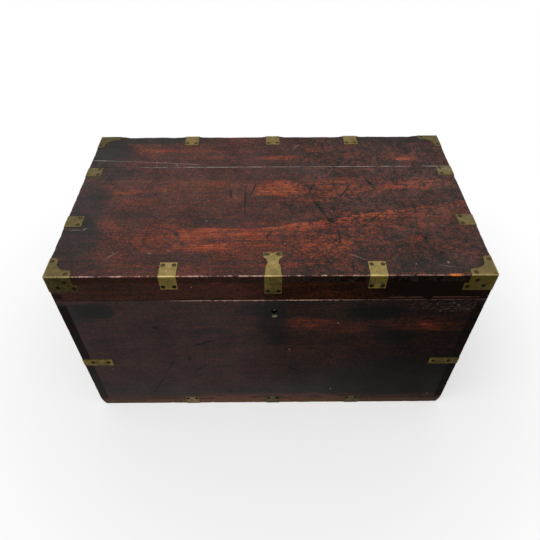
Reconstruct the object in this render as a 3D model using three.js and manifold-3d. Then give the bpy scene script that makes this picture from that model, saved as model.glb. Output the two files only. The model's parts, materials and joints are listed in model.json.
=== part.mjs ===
// A brass-bound sea chest with a shallow boarded lid, in millimetres.
// X runs along the front, Y from front to back and Z up. The origin is the middle of the underside.
import * as THREE from "three";
import { mergeVertices } from "three/addons/utils/BufferGeometryUtils.js";
import Module from "manifold-3d";

const wasm = await Module();
wasm.setup();

// Overall sizes over the wood
const chestWidth = 914;
const chestDepth = 524;
const chestHeight = 504;
const lidHeight = 74.4;

// Boards
const wallThick = 19;
const railThick = 19;
const topThick = 19;
const bottomThick = 20;
const topJointFromBack = 145;
const bottomJointFromBack = 220;
const footRadius = 20;

// Room between neighbouring pieces, and how far a cut runs past the face it opens
const fitGap = 0.3;
const lidGap = 0.3;
const overrun = 4;

// Dovetails: the end boards carry the tails, the front and back boards the pins
const tailCount = 8;
const tailWidth = 36;
const topPinWidth = 27;
const bottomPinWidth = 14;
const railTailCount = 2;
const railTailWidth = 16;
const railPinWidth = 6;
const tailSlopeShare = 1 / 6;

// Back edge of the joint: both sides are bevelled, and the bevels meet when the lid stands open
const openDegrees = 100;
const pinInset = 6;

// Brass plate, and the screws that hold it
const brassThick = 2;
const brassProud = 0.8;
const headRadius = 4;
const headCrownRadius = 3;
const headProud = 0.5;
const shankRadius = 1.9;
const screwLength = 14;
const screwSpacing = 23;

// Lid corner brackets
const bracketReach = 54;
const bracketArm = 18;
const bracketFillet = 24;
const bracketEnd = 9;
const bracketStepDrop = 23;
const bracketTabReach = 62.5;
const bracketDrop = 45;

// Plain lid straps
const strapWidth = 36;
const frontStrapReach = 39;
const backStrapReach = 42;
const sideStrapReach = 37.5;
const lidStrapDrop = 38.3;
const strapScrewInset = 8;

// Waisted strap over the lock
const haspCentre = 4.5;
const haspReach = 68.5;
const haspEarWidth = 43.4;
const haspWaistWidth = 22.4;
const haspFootWidth = 33.4;
const haspFlapWidth = 35.8;
const haspDrop = 53.3;
const haspBowDip = 3;
const haspScrewInset = 6.5;

// Base straps
const cornerStrapHeight = 25;
const cornerStrapReach = 71;
const cornerStrapMiddle = 200;
const footStrapWidth = 34;
const footStrapRise = 34;
const footStrapReach = 42;

// Hinges
const hingeLength = 72;
const hingeThick = 2;
const hingeDrop = 44;
const barrelRadius = 4.5;
const hingePinRadius = 2.4;
const barrelRoom = 0.7;
const knuckleCount = 5;

// Handles
const handleMiddle = 300;
const handlePlateLength = 150;
const handlePlateHeight = 46;
const handlePlateCorner = 6;
const bossWidth = 12;
const bossRadius = 7;
const bossStandOff = 11;
const bailPlay = 0.5;
const bailSpan = 80;
const bailDrop = 52;
const bailBend = 22;
const bailRadius = 4.5;
const bailEyeWidth = 9;
const bailEyeRadius = 5.5;
const bailPinRadius = 3;
const bailPinEnd = 1.5;
const heelThick = 8;
const gripLength = 52;
const gripEndRadius = 5;
const gripRadius = 6.5;

// Lock
const lockCentre = 7;
const lockDepth = 13;
const lockWall = 1.6;
const lockPlateThick = 1.8;
const lockPlateMargin = 8;
const lockBelowSlot = 3.7;
const keyholeBelow = 37;
const keyholeRadius = 6.5;
const keySlotWidth = 5;
const keySlotDrop = 17;
const keyPinRadius = 2.2;
const keyPinSetBack = 3;
const keyReach = 7;
const boltThick = 3.8;
const boltBar = 6;
const boltTravel = 8;
const boltUpright = 5.5;
const tongueHeight = 6;
const talonWidth = 11;
const talonHeight = 3;
const studThick = 4;
const studSpacing = 44;
const studWidth = 7;
const studRoom = 1;
const studEdge = 2.5;
const linkWidth = 11;
const linkLength = 84;
const linkThick = 2;
const shelfInset = 15;

// Places of the straps and hinges as shares of half the chest's width or depth
const frontStrapShares = [-0.458, 0.476];
const backStrapShares = [-0.457, 0.018, 0.476];
const sideStrapShares = [-0.352, 0.372];
const frontFootShares = [-0.463, 0.011, 0.473];
const backFootShares = [-0.463, 0.011, 0.473];
const sideFootShares = [-0.36, 0.36];
const hingeShares = [-0.66, 0.66];

// Half profile of the waisted strap: how far along its reach, and how wide between waist and ear
const haspProfileShares = [
  { along: 0.35, wide: 0.42 },
  { along: 0.54, wide: 0 },
  { along: 0.66, wide: 0.14 },
  { along: 0.83, wide: 0.92 },
  { along: 0.94, wide: 1 },
];
const haspBowShare = 0.25;

// Places of the bracket's screws, as shares of its reach or drop from the corner
const bracketTopScrewShares = { along: 0.8, across: 0.38 };
const bracketFlapScrewShares = [
  { along: 0.62, down: 0.34 },
  { along: 0.345, down: 0.7 },
  { along: 0.86, down: 0.76 },
];
const cornerStrapScrewShares = [0.33, 0.86];
const handlePlateScrewShare = 0.25;
const hingeScrewShares = [
  { along: -0.33, down: 0.76 },
  { along: 0, down: 0.42 },
  { along: 0.33, down: 0.76 },
];

// Facets of round pieces
const screwSides = 5;
const headSides = 7;
const barrelSides = 10;
const keyholeSides = 14;
const bailSides = 8;
const bailSteps = 14;
const gripShares = [-1, -0.5, 0, 0.5, 1];
const arcSteps = 3;
const heelSteps = 2;
const haspCurveSteps = 10;

// One degree, in radians
const degree = Math.PI / 180;

// Sizes that follow
const halfWidth = chestWidth / 2;
const halfDepth = chestDepth / 2;
const baseTop = chestHeight - lidHeight;
const lidBottom = baseTop + lidGap;
const railTop = chestHeight - topThick - fitGap;
const wallBottom = bottomThick + fitGap;
const pivotY = halfDepth - pinInset;
const pivotZ = baseTop + lidGap / 2;
const bevelRise = Math.tan((openDegrees / 2) * degree);

// Finishes
const boardWood = { color: 0x4a211a, roughness: 0.5, metalness: 0 };
const bottomWood = { color: 0x6a3b22, roughness: 0.75, metalness: 0 };
const agedBrass = { color: 0x7d7248, roughness: 0.42, metalness: 0.9 };
const lockSteel = { color: 0x5c5a56, roughness: 0.45, metalness: 0.9 };

// A closed three.js shape as a solid that can be joined and cut
function solid(geometry) {
  geometry.deleteAttribute("normal");
  geometry.deleteAttribute("uv");
  const merged = mergeVertices(geometry);
  const mesh = new wasm.Mesh({
    numProp: 3,
    vertProperties: merged.attributes.position.array,
    triVerts: Uint32Array.from(merged.index.array),
  });
  return new wasm.Manifold(mesh);
}

function joined(solids) {
  return solids.reduce((whole, next) => whole.add(next));
}

// A range that runs upwards, whichever end comes first
function span(first, second) {
  return [Math.min(first, second), Math.max(first, second)];
}

// A block from its range along each axis
function block({ x, y, z }) {
  const geometry = new THREE.BoxGeometry(x[1] - x[0], y[1] - y[0], z[1] - z[0]);
  geometry.translate((x[0] + x[1]) / 2, (y[0] + y[1]) / 2, (z[0] + z[1]) / 2);
  return solid(geometry);
}

// An outline drawn square to an axis and drawn out along it: (y, z) for x, (x, z) for y, (x, y) for z
function prism(axis, outline, [low, high]) {
  const geometry = new THREE.ExtrudeGeometry(outline, { depth: high - low, bevelEnabled: false });
  const place = new THREE.Matrix4();
  const [alongX, alongY, alongZ] = [0, 1, 2].map((index) => new THREE.Vector3().setComponent(index, 1));
  if (axis === "x") {
    place.makeBasis(alongY, alongZ, alongX);
  }
  if (axis === "y") {
    place.makeBasis(alongX, alongZ, alongY.negate());
  }
  geometry.translate(0, 0, axis === "y" ? -high : low);
  geometry.applyMatrix4(place);
  return solid(geometry);
}

// A round rod or cone between two points
function rod(start, end, startRadius, endRadius, sides) {
  const along = end.clone().sub(start);
  const geometry = new THREE.CylinderGeometry(endRadius, startRadius, along.length(), sides);
  geometry.translate(0, along.length() / 2, 0);
  const turn = new THREE.Quaternion().setFromUnitVectors(new THREE.Vector3(0, 1, 0), along.normalize());
  geometry.applyQuaternion(turn);
  geometry.translate(start.x, start.y, start.z);
  return solid(geometry);
}

// The points of a round stretch, from one angle in degrees to another
function arc(across, along, radius, from, to, steps = arcSteps) {
  const points = [];
  for (let step = 0; step <= steps; step += 1) {
    const angle = (from + ((to - from) * step) / steps) * degree;
    points.push([across + radius * Math.cos(angle), along + radius * Math.sin(angle)]);
  }
  return points;
}

function outlineOf(points, place = (across, along) => [across, along]) {
  return new THREE.Shape(points.map(([across, along]) => new THREE.Vector2(...place(across, along))));
}

function circle(across, along, radius, sides) {
  return arc(across, along, radius, 0, 360, sides).slice(1);
}

// The chest's faces: the axis each is square to, where it lies, which way is out, and the brass on it
const faces = {
  top: { axis: "z", at: chestHeight, out: 1, proud: brassProud },
  under: { axis: "z", at: 0, out: -1, proud: 0 },
  front: { axis: "y", along: "x", at: -halfDepth, out: -1, proud: brassProud },
  back: { axis: "y", along: "x", at: halfDepth, out: 1, proud: brassProud },
  left: { axis: "x", along: "y", at: -halfWidth, out: -1, proud: brassProud },
  right: { axis: "x", along: "y", at: halfWidth, out: 1, proud: brassProud },
};

// A range of distances inward from a face, as a range along its axis
function inward(face, near, far) {
  return span(face.at - face.out * near, face.at - face.out * far);
}

// The thickness of a brass plate let into a face, with room round it where grow is given
function plateRange(face, grow) {
  return inward(face, -face.proud - grow, brassThick - face.proud + grow);
}

// A screw through brass: a crowned head unless it is flush, and a tapered shank in the wood
function screw(at, outward, grow, flush = false) {
  const start = at.clone().addScaledVector(outward, -brassThick / 2);
  const tip = at.clone().addScaledVector(outward, -screwLength - grow);
  const shank = rod(tip, start, 0, shankRadius + grow, screwSides);
  if (grow > 0 || flush) {
    return shank;
  }
  const crown = at.clone().addScaledVector(outward, headProud);
  return shank.add(rod(start, crown, headRadius, headCrownRadius, headSides));
}

// A point on the brass of a face, from its place along the face and its height or depth
function onFace(face, along, level) {
  const point = new THREE.Vector3();
  point[face.axis] = face.at + face.out * face.proud;
  point[face.along] = along;
  point.z = level;
  return point;
}

function outwardOf(face) {
  const outward = new THREE.Vector3();
  outward[face.axis] = face.out;
  return outward;
}

// A strap that turns over the edge between an upright face and the top or underside
function turnedStrap({ face, level, middle, width, reach, drop }, grow) {
  const along = [middle - width / 2 - grow, middle + width / 2 + grow];
  const flat = { z: plateRange(level, grow) };
  flat[face.along] = along;
  flat[face.axis] = inward(face, -face.proud - grow, reach + grow);
  const flap = { z: inward(level, -level.proud - grow, drop + grow) };
  flap[face.along] = along;
  flap[face.axis] = plateRange(face, grow);
  const pieces = [block(flat), block(flap)];
  for (const side of [-1, 1]) {
    const place = middle + (side * screwSpacing) / 2;
    const onLevel = new THREE.Vector3();
    onLevel[face.along] = place;
    onLevel[face.axis] = face.at - face.out * (reach - strapScrewInset);
    onLevel.z = level.at + level.out * level.proud;
    pieces.push(screw(onLevel, outwardOf(level), grow, level.proud === 0));
    const height = level.at - level.out * (drop - strapScrewInset);
    pieces.push(screw(onFace(face, place, height), outwardOf(face), grow));
  }
  return joined(pieces);
}

// The top of a lid bracket, from the corner: two arms with round ends and a hollow curve between them
function bracketTopPoints(grow) {
  const edge = -brassProud - grow;
  const reach = bracketReach + grow;
  const arm = bracketArm + grow;
  const end = bracketEnd + grow;
  const hollow = bracketArm + bracketFillet;
  return [
    [edge, edge],
    [reach, edge],
    ...arc(reach - end, arm - end, end, 0, 90),
    ...arc(hollow, hollow, bracketFillet - grow, 270, 180),
    ...arc(arm - end, reach - end, end, 0, 90),
    [edge, reach],
  ];
}

// A flap of the bracket: as wide as the arm at first, then a step to a wider tab
function bracketFlapPoints(grow) {
  const edge = -brassProud - grow;
  return [
    [edge, edge],
    [bracketReach + grow, edge],
    [bracketReach + grow, bracketStepDrop - grow],
    [bracketTabReach + grow, bracketStepDrop - grow],
    [bracketTabReach + grow, bracketDrop + grow],
    [edge, bracketDrop + grow],
  ];
}

// A lid corner bracket: a top plate and two flaps, cast in one
function cornerBracket(endFace, longFace, grow) {
  const fromEnd = (distance) => endFace.at - endFace.out * distance;
  const fromLong = (distance) => longFace.at - longFace.out * distance;
  const below = (distance) => chestHeight - distance;
  const top = outlineOf(bracketTopPoints(grow), (a, b) => [fromEnd(a), fromLong(b)]);
  const longFlap = outlineOf(bracketFlapPoints(grow), (a, c) => [fromEnd(a), below(c)]);
  const endFlap = outlineOf(bracketFlapPoints(grow), (b, c) => [fromLong(b), below(c)]);
  const pieces = [
    prism("z", top, plateRange(faces.top, grow)),
    prism("y", longFlap, plateRange(longFace, grow)),
    prism("x", endFlap, plateRange(endFace, grow)),
  ];
  const far = bracketReach * bracketTopScrewShares.along;
  const near = bracketArm * bracketTopScrewShares.across;
  for (const [a, b] of [[far, near], [near, far]]) {
    const at = new THREE.Vector3(fromEnd(a), fromLong(b), chestHeight + brassProud);
    pieces.push(screw(at, outwardOf(faces.top), grow));
  }
  for (const { along, down } of bracketFlapScrewShares) {
    const height = below(down * bracketDrop);
    pieces.push(screw(onFace(longFace, fromEnd(along * bracketTabReach), height), outwardOf(longFace), grow));
    pieces.push(screw(onFace(endFace, fromLong(along * bracketTabReach), height), outwardOf(endFace), grow));
  }
  return joined(pieces);
}

// Half of the waisted strap's top, as distance from its middle and from the front edge
function haspPoints(grow) {
  const swell = (haspEarWidth - haspWaistWidth) / 2;
  const sides = haspProfileShares.map(({ along, wide }) => [
    haspWaistWidth / 2 + wide * swell + grow,
    along * haspReach,
  ]);
  const curve = new THREE.SplineCurve(sides.map(([across, along]) => new THREE.Vector2(across, along)));
  const bow = haspEarWidth * haspBowShare;
  return [
    [haspFootWidth / 2 + grow, -brassProud - grow],
    ...curve.getPoints(haspCurveSteps).map((point) => [point.x, point.y]),
    [bow + grow, haspReach + grow],
    [0, haspReach - haspBowDip + grow],
  ];
}

// The waisted strap over the lock, with its cupid's bow end on the lid and a plain flap in front
function haspStrap(grow) {
  const half = haspPoints(grow);
  const other = half.slice(0, -1).reverse().map(([across, along]) => [-across, along]);
  const place = (across, along) => [haspCentre + across, along - halfDepth];
  const flap = block({
    x: [haspCentre - haspFlapWidth / 2 - grow, haspCentre + haspFlapWidth / 2 + grow],
    y: plateRange(faces.front, grow),
    z: [chestHeight - haspDrop - grow, chestHeight + brassProud + grow],
  });
  const pieces = [prism("z", outlineOf([...half, ...other], place), plateRange(faces.top, grow)), flap];
  for (const side of [-1, 1]) {
    const across = haspCentre + (side * haspWaistWidth) / 2;
    const at = new THREE.Vector3(across, haspReach - haspScrewInset - halfDepth, chestHeight + brassProud);
    pieces.push(screw(at, outwardOf(faces.top), grow));
    const height = chestHeight - haspDrop + strapScrewInset;
    pieces.push(screw(onFace(faces.front, across, height), outwardOf(faces.front), grow));
  }
  return joined(pieces);
}

// A flat strap round an upright corner of the base
function cornerStrap(endFace, longFace, grow) {
  const height = [
    cornerStrapMiddle - cornerStrapHeight / 2 - grow,
    cornerStrapMiddle + cornerStrapHeight / 2 + grow,
  ];
  const reach = cornerStrapReach + grow;
  const pieces = [
    block({ x: inward(endFace, -brassProud - grow, reach), y: plateRange(longFace, grow), z: height }),
    block({ x: plateRange(endFace, grow), y: inward(longFace, -brassProud - grow, reach), z: height }),
  ];
  for (const share of cornerStrapScrewShares) {
    const onLong = onFace(longFace, endFace.at - endFace.out * share * cornerStrapReach, cornerStrapMiddle);
    const onEnd = onFace(endFace, longFace.at - longFace.out * share * cornerStrapReach, cornerStrapMiddle);
    pieces.push(screw(onLong, outwardOf(longFace), grow), screw(onEnd, outwardOf(endFace), grow));
  }
  return joined(pieces);
}

// Heights of the tails' middles, evenly laid between the end pins
function tailMiddles(bottom, top, count, width, lowPin, highPin) {
  const first = bottom + lowPin + width / 2;
  const last = top - highPin - width / 2;
  return Array.from({ length: count }, (_, index) => first + ((last - first) * index) / (count - 1));
}

// A tail seen from the chest's end: widest at the outer face, and narrower the deeper it lies
function tailPoints(middle, width, thick, longFace, grow) {
  const half = (depth) => width / 2 + grow - depth * tailSlopeShare;
  const place = (depth) => longFace.at - longFace.out * depth;
  const root = thick + overrun;
  return [
    [place(-grow), middle - half(-grow)],
    [place(-grow), middle + half(-grow)],
    [place(root), middle + half(root)],
    [place(root), middle - half(root)],
  ];
}

// An end board with tails at both edges
function tailBoard(endFace, thick, bottom, top, middles, width) {
  const across = inward(endFace, 0, thick);
  const shoulder = halfDepth - thick - fitGap;
  const core = block({ x: across, y: [-shoulder, shoulder], z: [bottom, top] });
  const tails = [faces.front, faces.back].flatMap((longFace) =>
    middles.map((middle) => prism("x", outlineOf(tailPoints(middle, width, thick, longFace, 0)), across)),
  );
  return joined([core, ...tails]);
}

// A front or back board with sockets for the tails, which leaves its pins between them
function pinBoard(longFace, thick, bottom, top, middles, width) {
  const board = block({ x: [-halfWidth, halfWidth], y: inward(longFace, 0, thick), z: [bottom, top] });
  const sockets = [faces.left, faces.right].flatMap((endFace) =>
    middles.map((middle) => {
      const outline = outlineOf(tailPoints(middle, width, thick, longFace, fitGap));
      return prism("x", outline, inward(endFace, -overrun, thick + fitGap));
    }),
  );
  return board.subtract(joined(sockets));
}

// The wedge cut from the back edge of the base (down) or lid (up), from the hinge line outwards
function backBevel(edge, direction) {
  const far = pinInset + overrun;
  const outline = outlineOf([
    [pivotY, edge],
    [pivotY + far, edge + direction * far * bevelRise],
    [pivotY + far, edge - direction * overrun],
    [pivotY, edge - direction * overrun],
  ]);
  return prism("x", outline, [-halfWidth - overrun, halfWidth + overrun]);
}

// Hinge: each leaf lies on an edge of the joint and turns down or up the inner face of its wall
function hingeKnuckles(middle, wanted) {
  const length = hingeLength / knuckleCount;
  const knuckles = [];
  for (let index = wanted; index < knuckleCount; index += 2) {
    const start = middle - hingeLength / 2 + index * length;
    knuckles.push([start + fitGap / 2, start + length - fitGap / 2]);
  }
  return knuckles;
}

function hingeLeaf(middle, edge, direction, wanted, wall, grow) {
  const length = [middle - hingeLength / 2 - grow, middle + hingeLength / 2 + grow];
  const inner = halfDepth - wall - grow;
  const bed = span(edge - direction * (hingeThick + grow), edge + direction * grow);
  const tall = span(edge - direction * (hingeDrop + grow), edge + direction * grow);
  const pieces = [
    block({ x: length, y: [inner, grow > 0 ? pivotY : pivotY - barrelRadius - barrelRoom], z: bed }),
    block({ x: length, y: [inner, halfDepth - wall + hingeThick + grow], z: tall }),
  ];
  for (const { along, down } of hingeScrewShares) {
    const height = edge - direction * hingeDrop * down;
    const at = new THREE.Vector3(middle + along * hingeLength, halfDepth - wall, height);
    pieces.push(screw(at, outwardOf(faces.front), grow, true));
  }
  if (grow > 0) {
    const room = barrelRadius + barrelRoom;
    pieces.push(prism("x", outlineOf(circle(pivotY, pivotZ, room, barrelSides)), length));
    return joined(pieces);
  }
  const wallMiddle = (barrelRadius + hingePinRadius + fitGap) / 2;
  for (const [low, high] of hingeKnuckles(middle, wanted)) {
    const ring = outlineOf(circle(pivotY, pivotZ, barrelRadius, barrelSides));
    ring.holes.push(outlineOf(circle(pivotY, pivotZ, hingePinRadius + fitGap, barrelSides)));
    const web = { x: [low, high], y: [pivotY - barrelRadius - barrelRoom * 2, pivotY - wallMiddle], z: bed };
    pieces.push(prism("x", ring, [low, high]), block(web));
  }
  return joined(pieces);
}

function hingePin(middle) {
  const pin = outlineOf(circle(pivotY, pivotZ, hingePinRadius, barrelSides));
  return prism("x", pin, [middle - hingeLength / 2, middle + hingeLength / 2]);
}

// Handle plate: let into the end board, with two bosses that carry the bail's pins
const bossInner = (bailSpan + bailEyeWidth) / 2 + bailPlay;
const bossMiddle = bossInner + bossWidth / 2;
const plateScrewAcross = (handlePlateLength / 2 + bossInner + bossWidth) / 2;

function handlePlate(face, grow) {
  const halfLength = handlePlateLength / 2 + grow;
  const halfHeight = handlePlateHeight / 2 + grow;
  const corner = handlePlateCorner + grow;
  const outline = outlineOf([
    ...arc(halfLength - corner, handleMiddle + halfHeight - corner, corner, 0, 90),
    ...arc(corner - halfLength, handleMiddle + halfHeight - corner, corner, 90, 180),
    ...arc(corner - halfLength, handleMiddle - halfHeight + corner, corner, 180, 270),
    ...arc(halfLength - corner, handleMiddle - halfHeight + corner, corner, 270, 360),
  ]);
  const pieces = [prism("x", outline, plateRange(face, grow))];
  for (const side of [-1, 1]) {
    for (const rise of [-1, 1]) {
      const height = handleMiddle + rise * handlePlateHeight * handlePlateScrewShare;
      pieces.push(screw(onFace(face, side * plateScrewAcross, height), outwardOf(face), grow));
    }
  }
  if (grow > 0) {
    return joined(pieces);
  }
  const pivotX = face.at + face.out * bossStandOff;
  for (const side of [-1, 1]) {
    const across = span(side * (bossMiddle - bossWidth / 2), side * (bossMiddle + bossWidth / 2));
    const height = [handleMiddle - bossRadius, handleMiddle + bossRadius];
    const round = outlineOf(circle(pivotX, handleMiddle, bossRadius, barrelSides));
    pieces.push(block({ x: inward(face, -bossStandOff, 0), y: across, z: height }));
    pieces.push(prism("y", round, across));
  }
  const bore = outlineOf(circle(pivotX, handleMiddle, bailPinRadius + fitGap, barrelSides));
  return joined(pieces).subtract(prism("y", bore, [-handlePlateLength / 2, handlePlateLength / 2]));
}

// Bail: a bent bar with a swelled grip. Its heels meet the plate when it stands straight out
function bail(face) {
  const pivotX = face.at + face.out * bossStandOff;
  const half = bailSpan / 2;
  const low = handleMiddle - bailDrop;
  const point = (y, z) => new THREE.Vector3(pivotX, y, z);
  const [armLeft, armRight] = [point(-half, low + bailBend), point(half, low + bailBend)];
  const [runLeft, runRight] = [point(bailBend - half, low), point(half - bailBend, low)];
  const path = new THREE.CurvePath();
  path.add(new THREE.LineCurve3(point(-half, handleMiddle), armLeft));
  path.add(new THREE.QuadraticBezierCurve3(armLeft, point(-half, low), runLeft));
  path.add(new THREE.LineCurve3(runLeft, runRight));
  path.add(new THREE.QuadraticBezierCurve3(runRight, point(half, low), armRight));
  path.add(new THREE.LineCurve3(armRight, point(half, handleMiddle)));
  const section = outlineOf(circle(0, 0, bailRadius, bailSides));
  const bar = solid(new THREE.ExtrudeGeometry(section, { steps: bailSteps, extrudePath: path }));
  const gripSteps = gripShares.map((share) => {
    const radius = gripEndRadius + (gripRadius - gripEndRadius) * Math.cos((share * Math.PI) / 2);
    return new THREE.Vector2(radius, (share * gripLength) / 2);
  });
  const ends = [new THREE.Vector2(0, -gripLength / 2), new THREE.Vector2(0, gripLength / 2)];
  const grip = new THREE.LatheGeometry([ends[0], ...gripSteps, ends[1]], barrelSides);
  grip.translate(pivotX, 0, low);
  const pieces = [bar, solid(grip)];
  const heel = bossStandOff - brassProud - fitGap;
  const lead = Math.asin(heelThick / 2 / heel) / degree;
  const heelPoints = [
    [heelThick / 2, 0],
    [heelThick / 2, heel],
    ...arc(0, 0, heel, 90, 90 + lead, heelSteps),
    [-heelThick / 2, 0],
  ];
  const heelOutline = outlineOf(heelPoints, (x, z) => [pivotX + face.out * x, handleMiddle + z]);
  for (const side of [-1, 1]) {
    const eye = span(side * (half - bailEyeWidth / 2), side * (half + bailEyeWidth / 2));
    const pin = span(side * half, side * (bossMiddle + bossWidth / 2 + bailPinEnd));
    const round = (radius) => outlineOf(circle(pivotX, handleMiddle, radius, barrelSides));
    pieces.push(prism("y", round(bailEyeRadius), eye), prism("y", round(bailPinRadius), pin));
    pieces.push(prism("y", heelOutline, eye));
  }
  return joined(pieces);
}

// Lock: an open-backed case let into the front board from inside, with a hook bolt on two shelves
const wallInner = wallThick - halfDepth;
const caseFront = wallInner - lockDepth;
const cavityFront = caseFront + lockWall;
const cavityBack = wallInner - lockPlateThick;
const cavityMiddle = (cavityFront + cavityBack) / 2;
const keyholeHeight = baseTop - keyholeBelow;
const caseBottom = keyholeHeight - keySlotDrop - lockBelowSlot;
const barBottom = keyholeHeight + keyReach;
const barTop = barBottom + boltBar;
const studBottom = barTop + studRoom;
const eyeBottom = studBottom + studEdge;
const tongueBottom = eyeBottom + studRoom;
const eyeTop = tongueBottom + tongueHeight + studRoom;

// Places along the bolt, from the lock's middle: its first tongue's tip, its upright and its end
const tongueTip = -studSpacing / 2 - studThick / 2 - studRoom;
const uprightPlace = tongueTip - boltTravel;
const boltEnd = uprightPlace - boltUpright;
const lockHalf = lockWall + studRoom - boltEnd;

function keyholeCut(range) {
  const round = prism("y", outlineOf(circle(lockCentre, keyholeHeight, keyholeRadius, keyholeSides)), range);
  const slot = block({
    x: [lockCentre - keySlotWidth / 2, lockCentre + keySlotWidth / 2],
    y: range,
    z: [keyholeHeight - keySlotDrop, keyholeHeight],
  });
  return round.add(slot);
}

function studMiddles() {
  return [lockCentre - studSpacing / 2, lockCentre + studSpacing / 2];
}

function lockCase() {
  const inner = lockHalf - lockWall;
  const shell = block({
    x: [lockCentre - lockHalf, lockCentre + lockHalf],
    y: [caseFront, cavityBack - fitGap],
    z: [caseBottom, baseTop],
  });
  const cavity = block({
    x: [lockCentre - inner, lockCentre + inner],
    y: [cavityFront, cavityBack + overrun],
    z: [caseBottom + lockWall, baseTop - lockWall],
  });
  const slots = studMiddles().map((middle) =>
    block({
      x: [middle - studThick / 2 - studRoom, middle + studThick / 2 + studRoom],
      y: [cavityMiddle - studWidth / 2 - studRoom, cavityMiddle + studWidth / 2 + studRoom],
      z: [baseTop - lockWall * 2, baseTop + overrun],
    }),
  );
  const shelves = [-1, 1].map((side) =>
    block({
      x: span(lockCentre + side * shelfInset, lockCentre + side * (lockHalf - lockWall / 2)),
      y: [cavityFront - lockWall / 2, cavityBack - fitGap],
      z: [barBottom - fitGap - lockWall, barBottom - fitGap],
    }),
  );
  const hollow = shell.subtract(cavity).subtract(joined(slots)).add(joined(shelves));
  return hollow.subtract(keyholeCut([caseFront - overrun, cavityFront + overrun]));
}

function lockBackPlate(grow) {
  const half = lockHalf + lockPlateMargin;
  const low = caseBottom - lockPlateMargin;
  const plate = block({
    x: [lockCentre - half - grow, lockCentre + half + grow],
    y: [cavityBack - grow, wallInner + grow],
    z: [low - grow, baseTop - lockWall + grow],
  });
  const pieces = [plate];
  for (const side of [-1, 1]) {
    for (const height of [low + lockPlateMargin, baseTop - lockWall - lockPlateMargin]) {
      const at = new THREE.Vector3(lockCentre + side * (half - lockPlateMargin / 2), wallInner, height);
      pieces.push(screw(at, outwardOf(faces.back), grow, true));
    }
  }
  if (grow > 0) {
    return joined(pieces);
  }
  const hole = outlineOf(circle(lockCentre, keyholeHeight, keyPinRadius + fitGap, barrelSides));
  return joined(pieces).subtract(prism("y", hole, [cavityBack - overrun, wallInner + overrun]));
}

function lockPocket() {
  const half = lockHalf + fitGap;
  const pocket = block({
    x: [lockCentre - half, lockCentre + half],
    y: [caseFront - fitGap, wallInner + overrun],
    z: [caseBottom - fitGap, baseTop + overrun],
  });
  return joined([pocket, lockBackPlate(fitGap), keyholeCut([-halfDepth - overrun, caseFront])]);
}

function keyPin() {
  const outline = outlineOf(circle(lockCentre, keyholeHeight, keyPinRadius, barrelSides));
  return prism("y", outline, [keyPinSetBack - halfDepth, wallInner]);
}

// The bolt's hooks stand short of the studs at rest, and its tongues pass through their eyes when it slides
function lockBolt() {
  const tongueTop = tongueBottom + tongueHeight;
  const hook = (shift) => [
    [shift + boltEnd, barTop],
    [shift + boltEnd, tongueTop],
    [shift + tongueTip, tongueTop],
    [shift + tongueTip, tongueBottom],
    [shift + uprightPlace, tongueBottom],
    [shift + uprightPlace, barTop],
  ];
  const outline = outlineOf(
    [
      [boltEnd, barBottom],
      ...hook(0).slice(1),
      ...hook(studSpacing),
      [-boltEnd - boltTravel, barTop],
      [-boltEnd - boltTravel, barBottom],
    ],
    (x, z) => [lockCentre + x, z],
  );
  const bolt = prism("y", outline, [cavityMiddle - boltThick / 2, cavityMiddle + boltThick / 2]);
  const talon = block({
    x: [lockCentre - talonWidth / 2, lockCentre + talonWidth / 2],
    y: [cavityFront, cavityBack],
    z: [barBottom - overrun, barBottom + talonHeight],
  });
  return bolt.subtract(talon);
}

// Link plate: let into the lid's front rail from below, with an eyed stud over each slot in the case
function linkPlate(grow) {
  const plate = block({
    x: [lockCentre - linkLength / 2 - grow, lockCentre + linkLength / 2 + grow],
    y: [cavityMiddle - linkWidth / 2 - grow, cavityMiddle + linkWidth / 2 + grow],
    z: [lidBottom - grow, lidBottom + linkThick + grow],
  });
  const pieces = [plate];
  for (const side of [-1, 1]) {
    const across = lockCentre + side * (linkLength / 2 - lockPlateMargin);
    const at = new THREE.Vector3(across, cavityMiddle, lidBottom);
    pieces.push(screw(at, outwardOf(faces.under), grow, true));
  }
  if (grow > 0) {
    return joined(pieces);
  }
  for (const middle of studMiddles()) {
    const across = [middle - studThick / 2, middle + studThick / 2];
    const stud = block({
      x: across,
      y: [cavityMiddle - studWidth / 2, cavityMiddle + studWidth / 2],
      z: [studBottom, lidBottom + linkThick / 2],
    });
    const eyeHalf = (boltThick + studRoom) / 2;
    const eye = block({
      x: [across[0] - overrun, across[1] + overrun],
      y: [cavityMiddle - eyeHalf, cavityMiddle + eyeHalf],
      z: [eyeBottom, eyeTop],
    });
    pieces.push(stud.subtract(eye));
  }
  return joined(pieces);
}

// Fittings: each is made once at its own size, and once grown by the fit gap as its recess in the wood
const ends = { left: faces.left, right: faces.right };
const longs = { front: faces.front, back: faces.back };
const cornerNames = Object.keys(longs).flatMap((long) => Object.keys(ends).map((end) => [long, end]));

function strapRow(prefix, faceName, level, shares, sizes) {
  const face = faces[faceName];
  const half = face.along === "x" ? halfWidth : halfDepth;
  return shares.map((share, index) => ({
    name: `${prefix}_${faceName}_strap_${index + 1}`,
    make: (grow) => turnedStrap({ face, level, middle: share * half, ...sizes }, grow),
  }));
}

function lidStraps(faceName, shares, reach) {
  return strapRow("lid", faceName, faces.top, shares, { width: strapWidth, reach, drop: lidStrapDrop });
}

function footStraps(faceName, shares) {
  const sizes = { width: footStrapWidth, reach: footStrapReach, drop: footStrapRise };
  return strapRow("foot", faceName, faces.under, shares, sizes);
}

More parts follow.
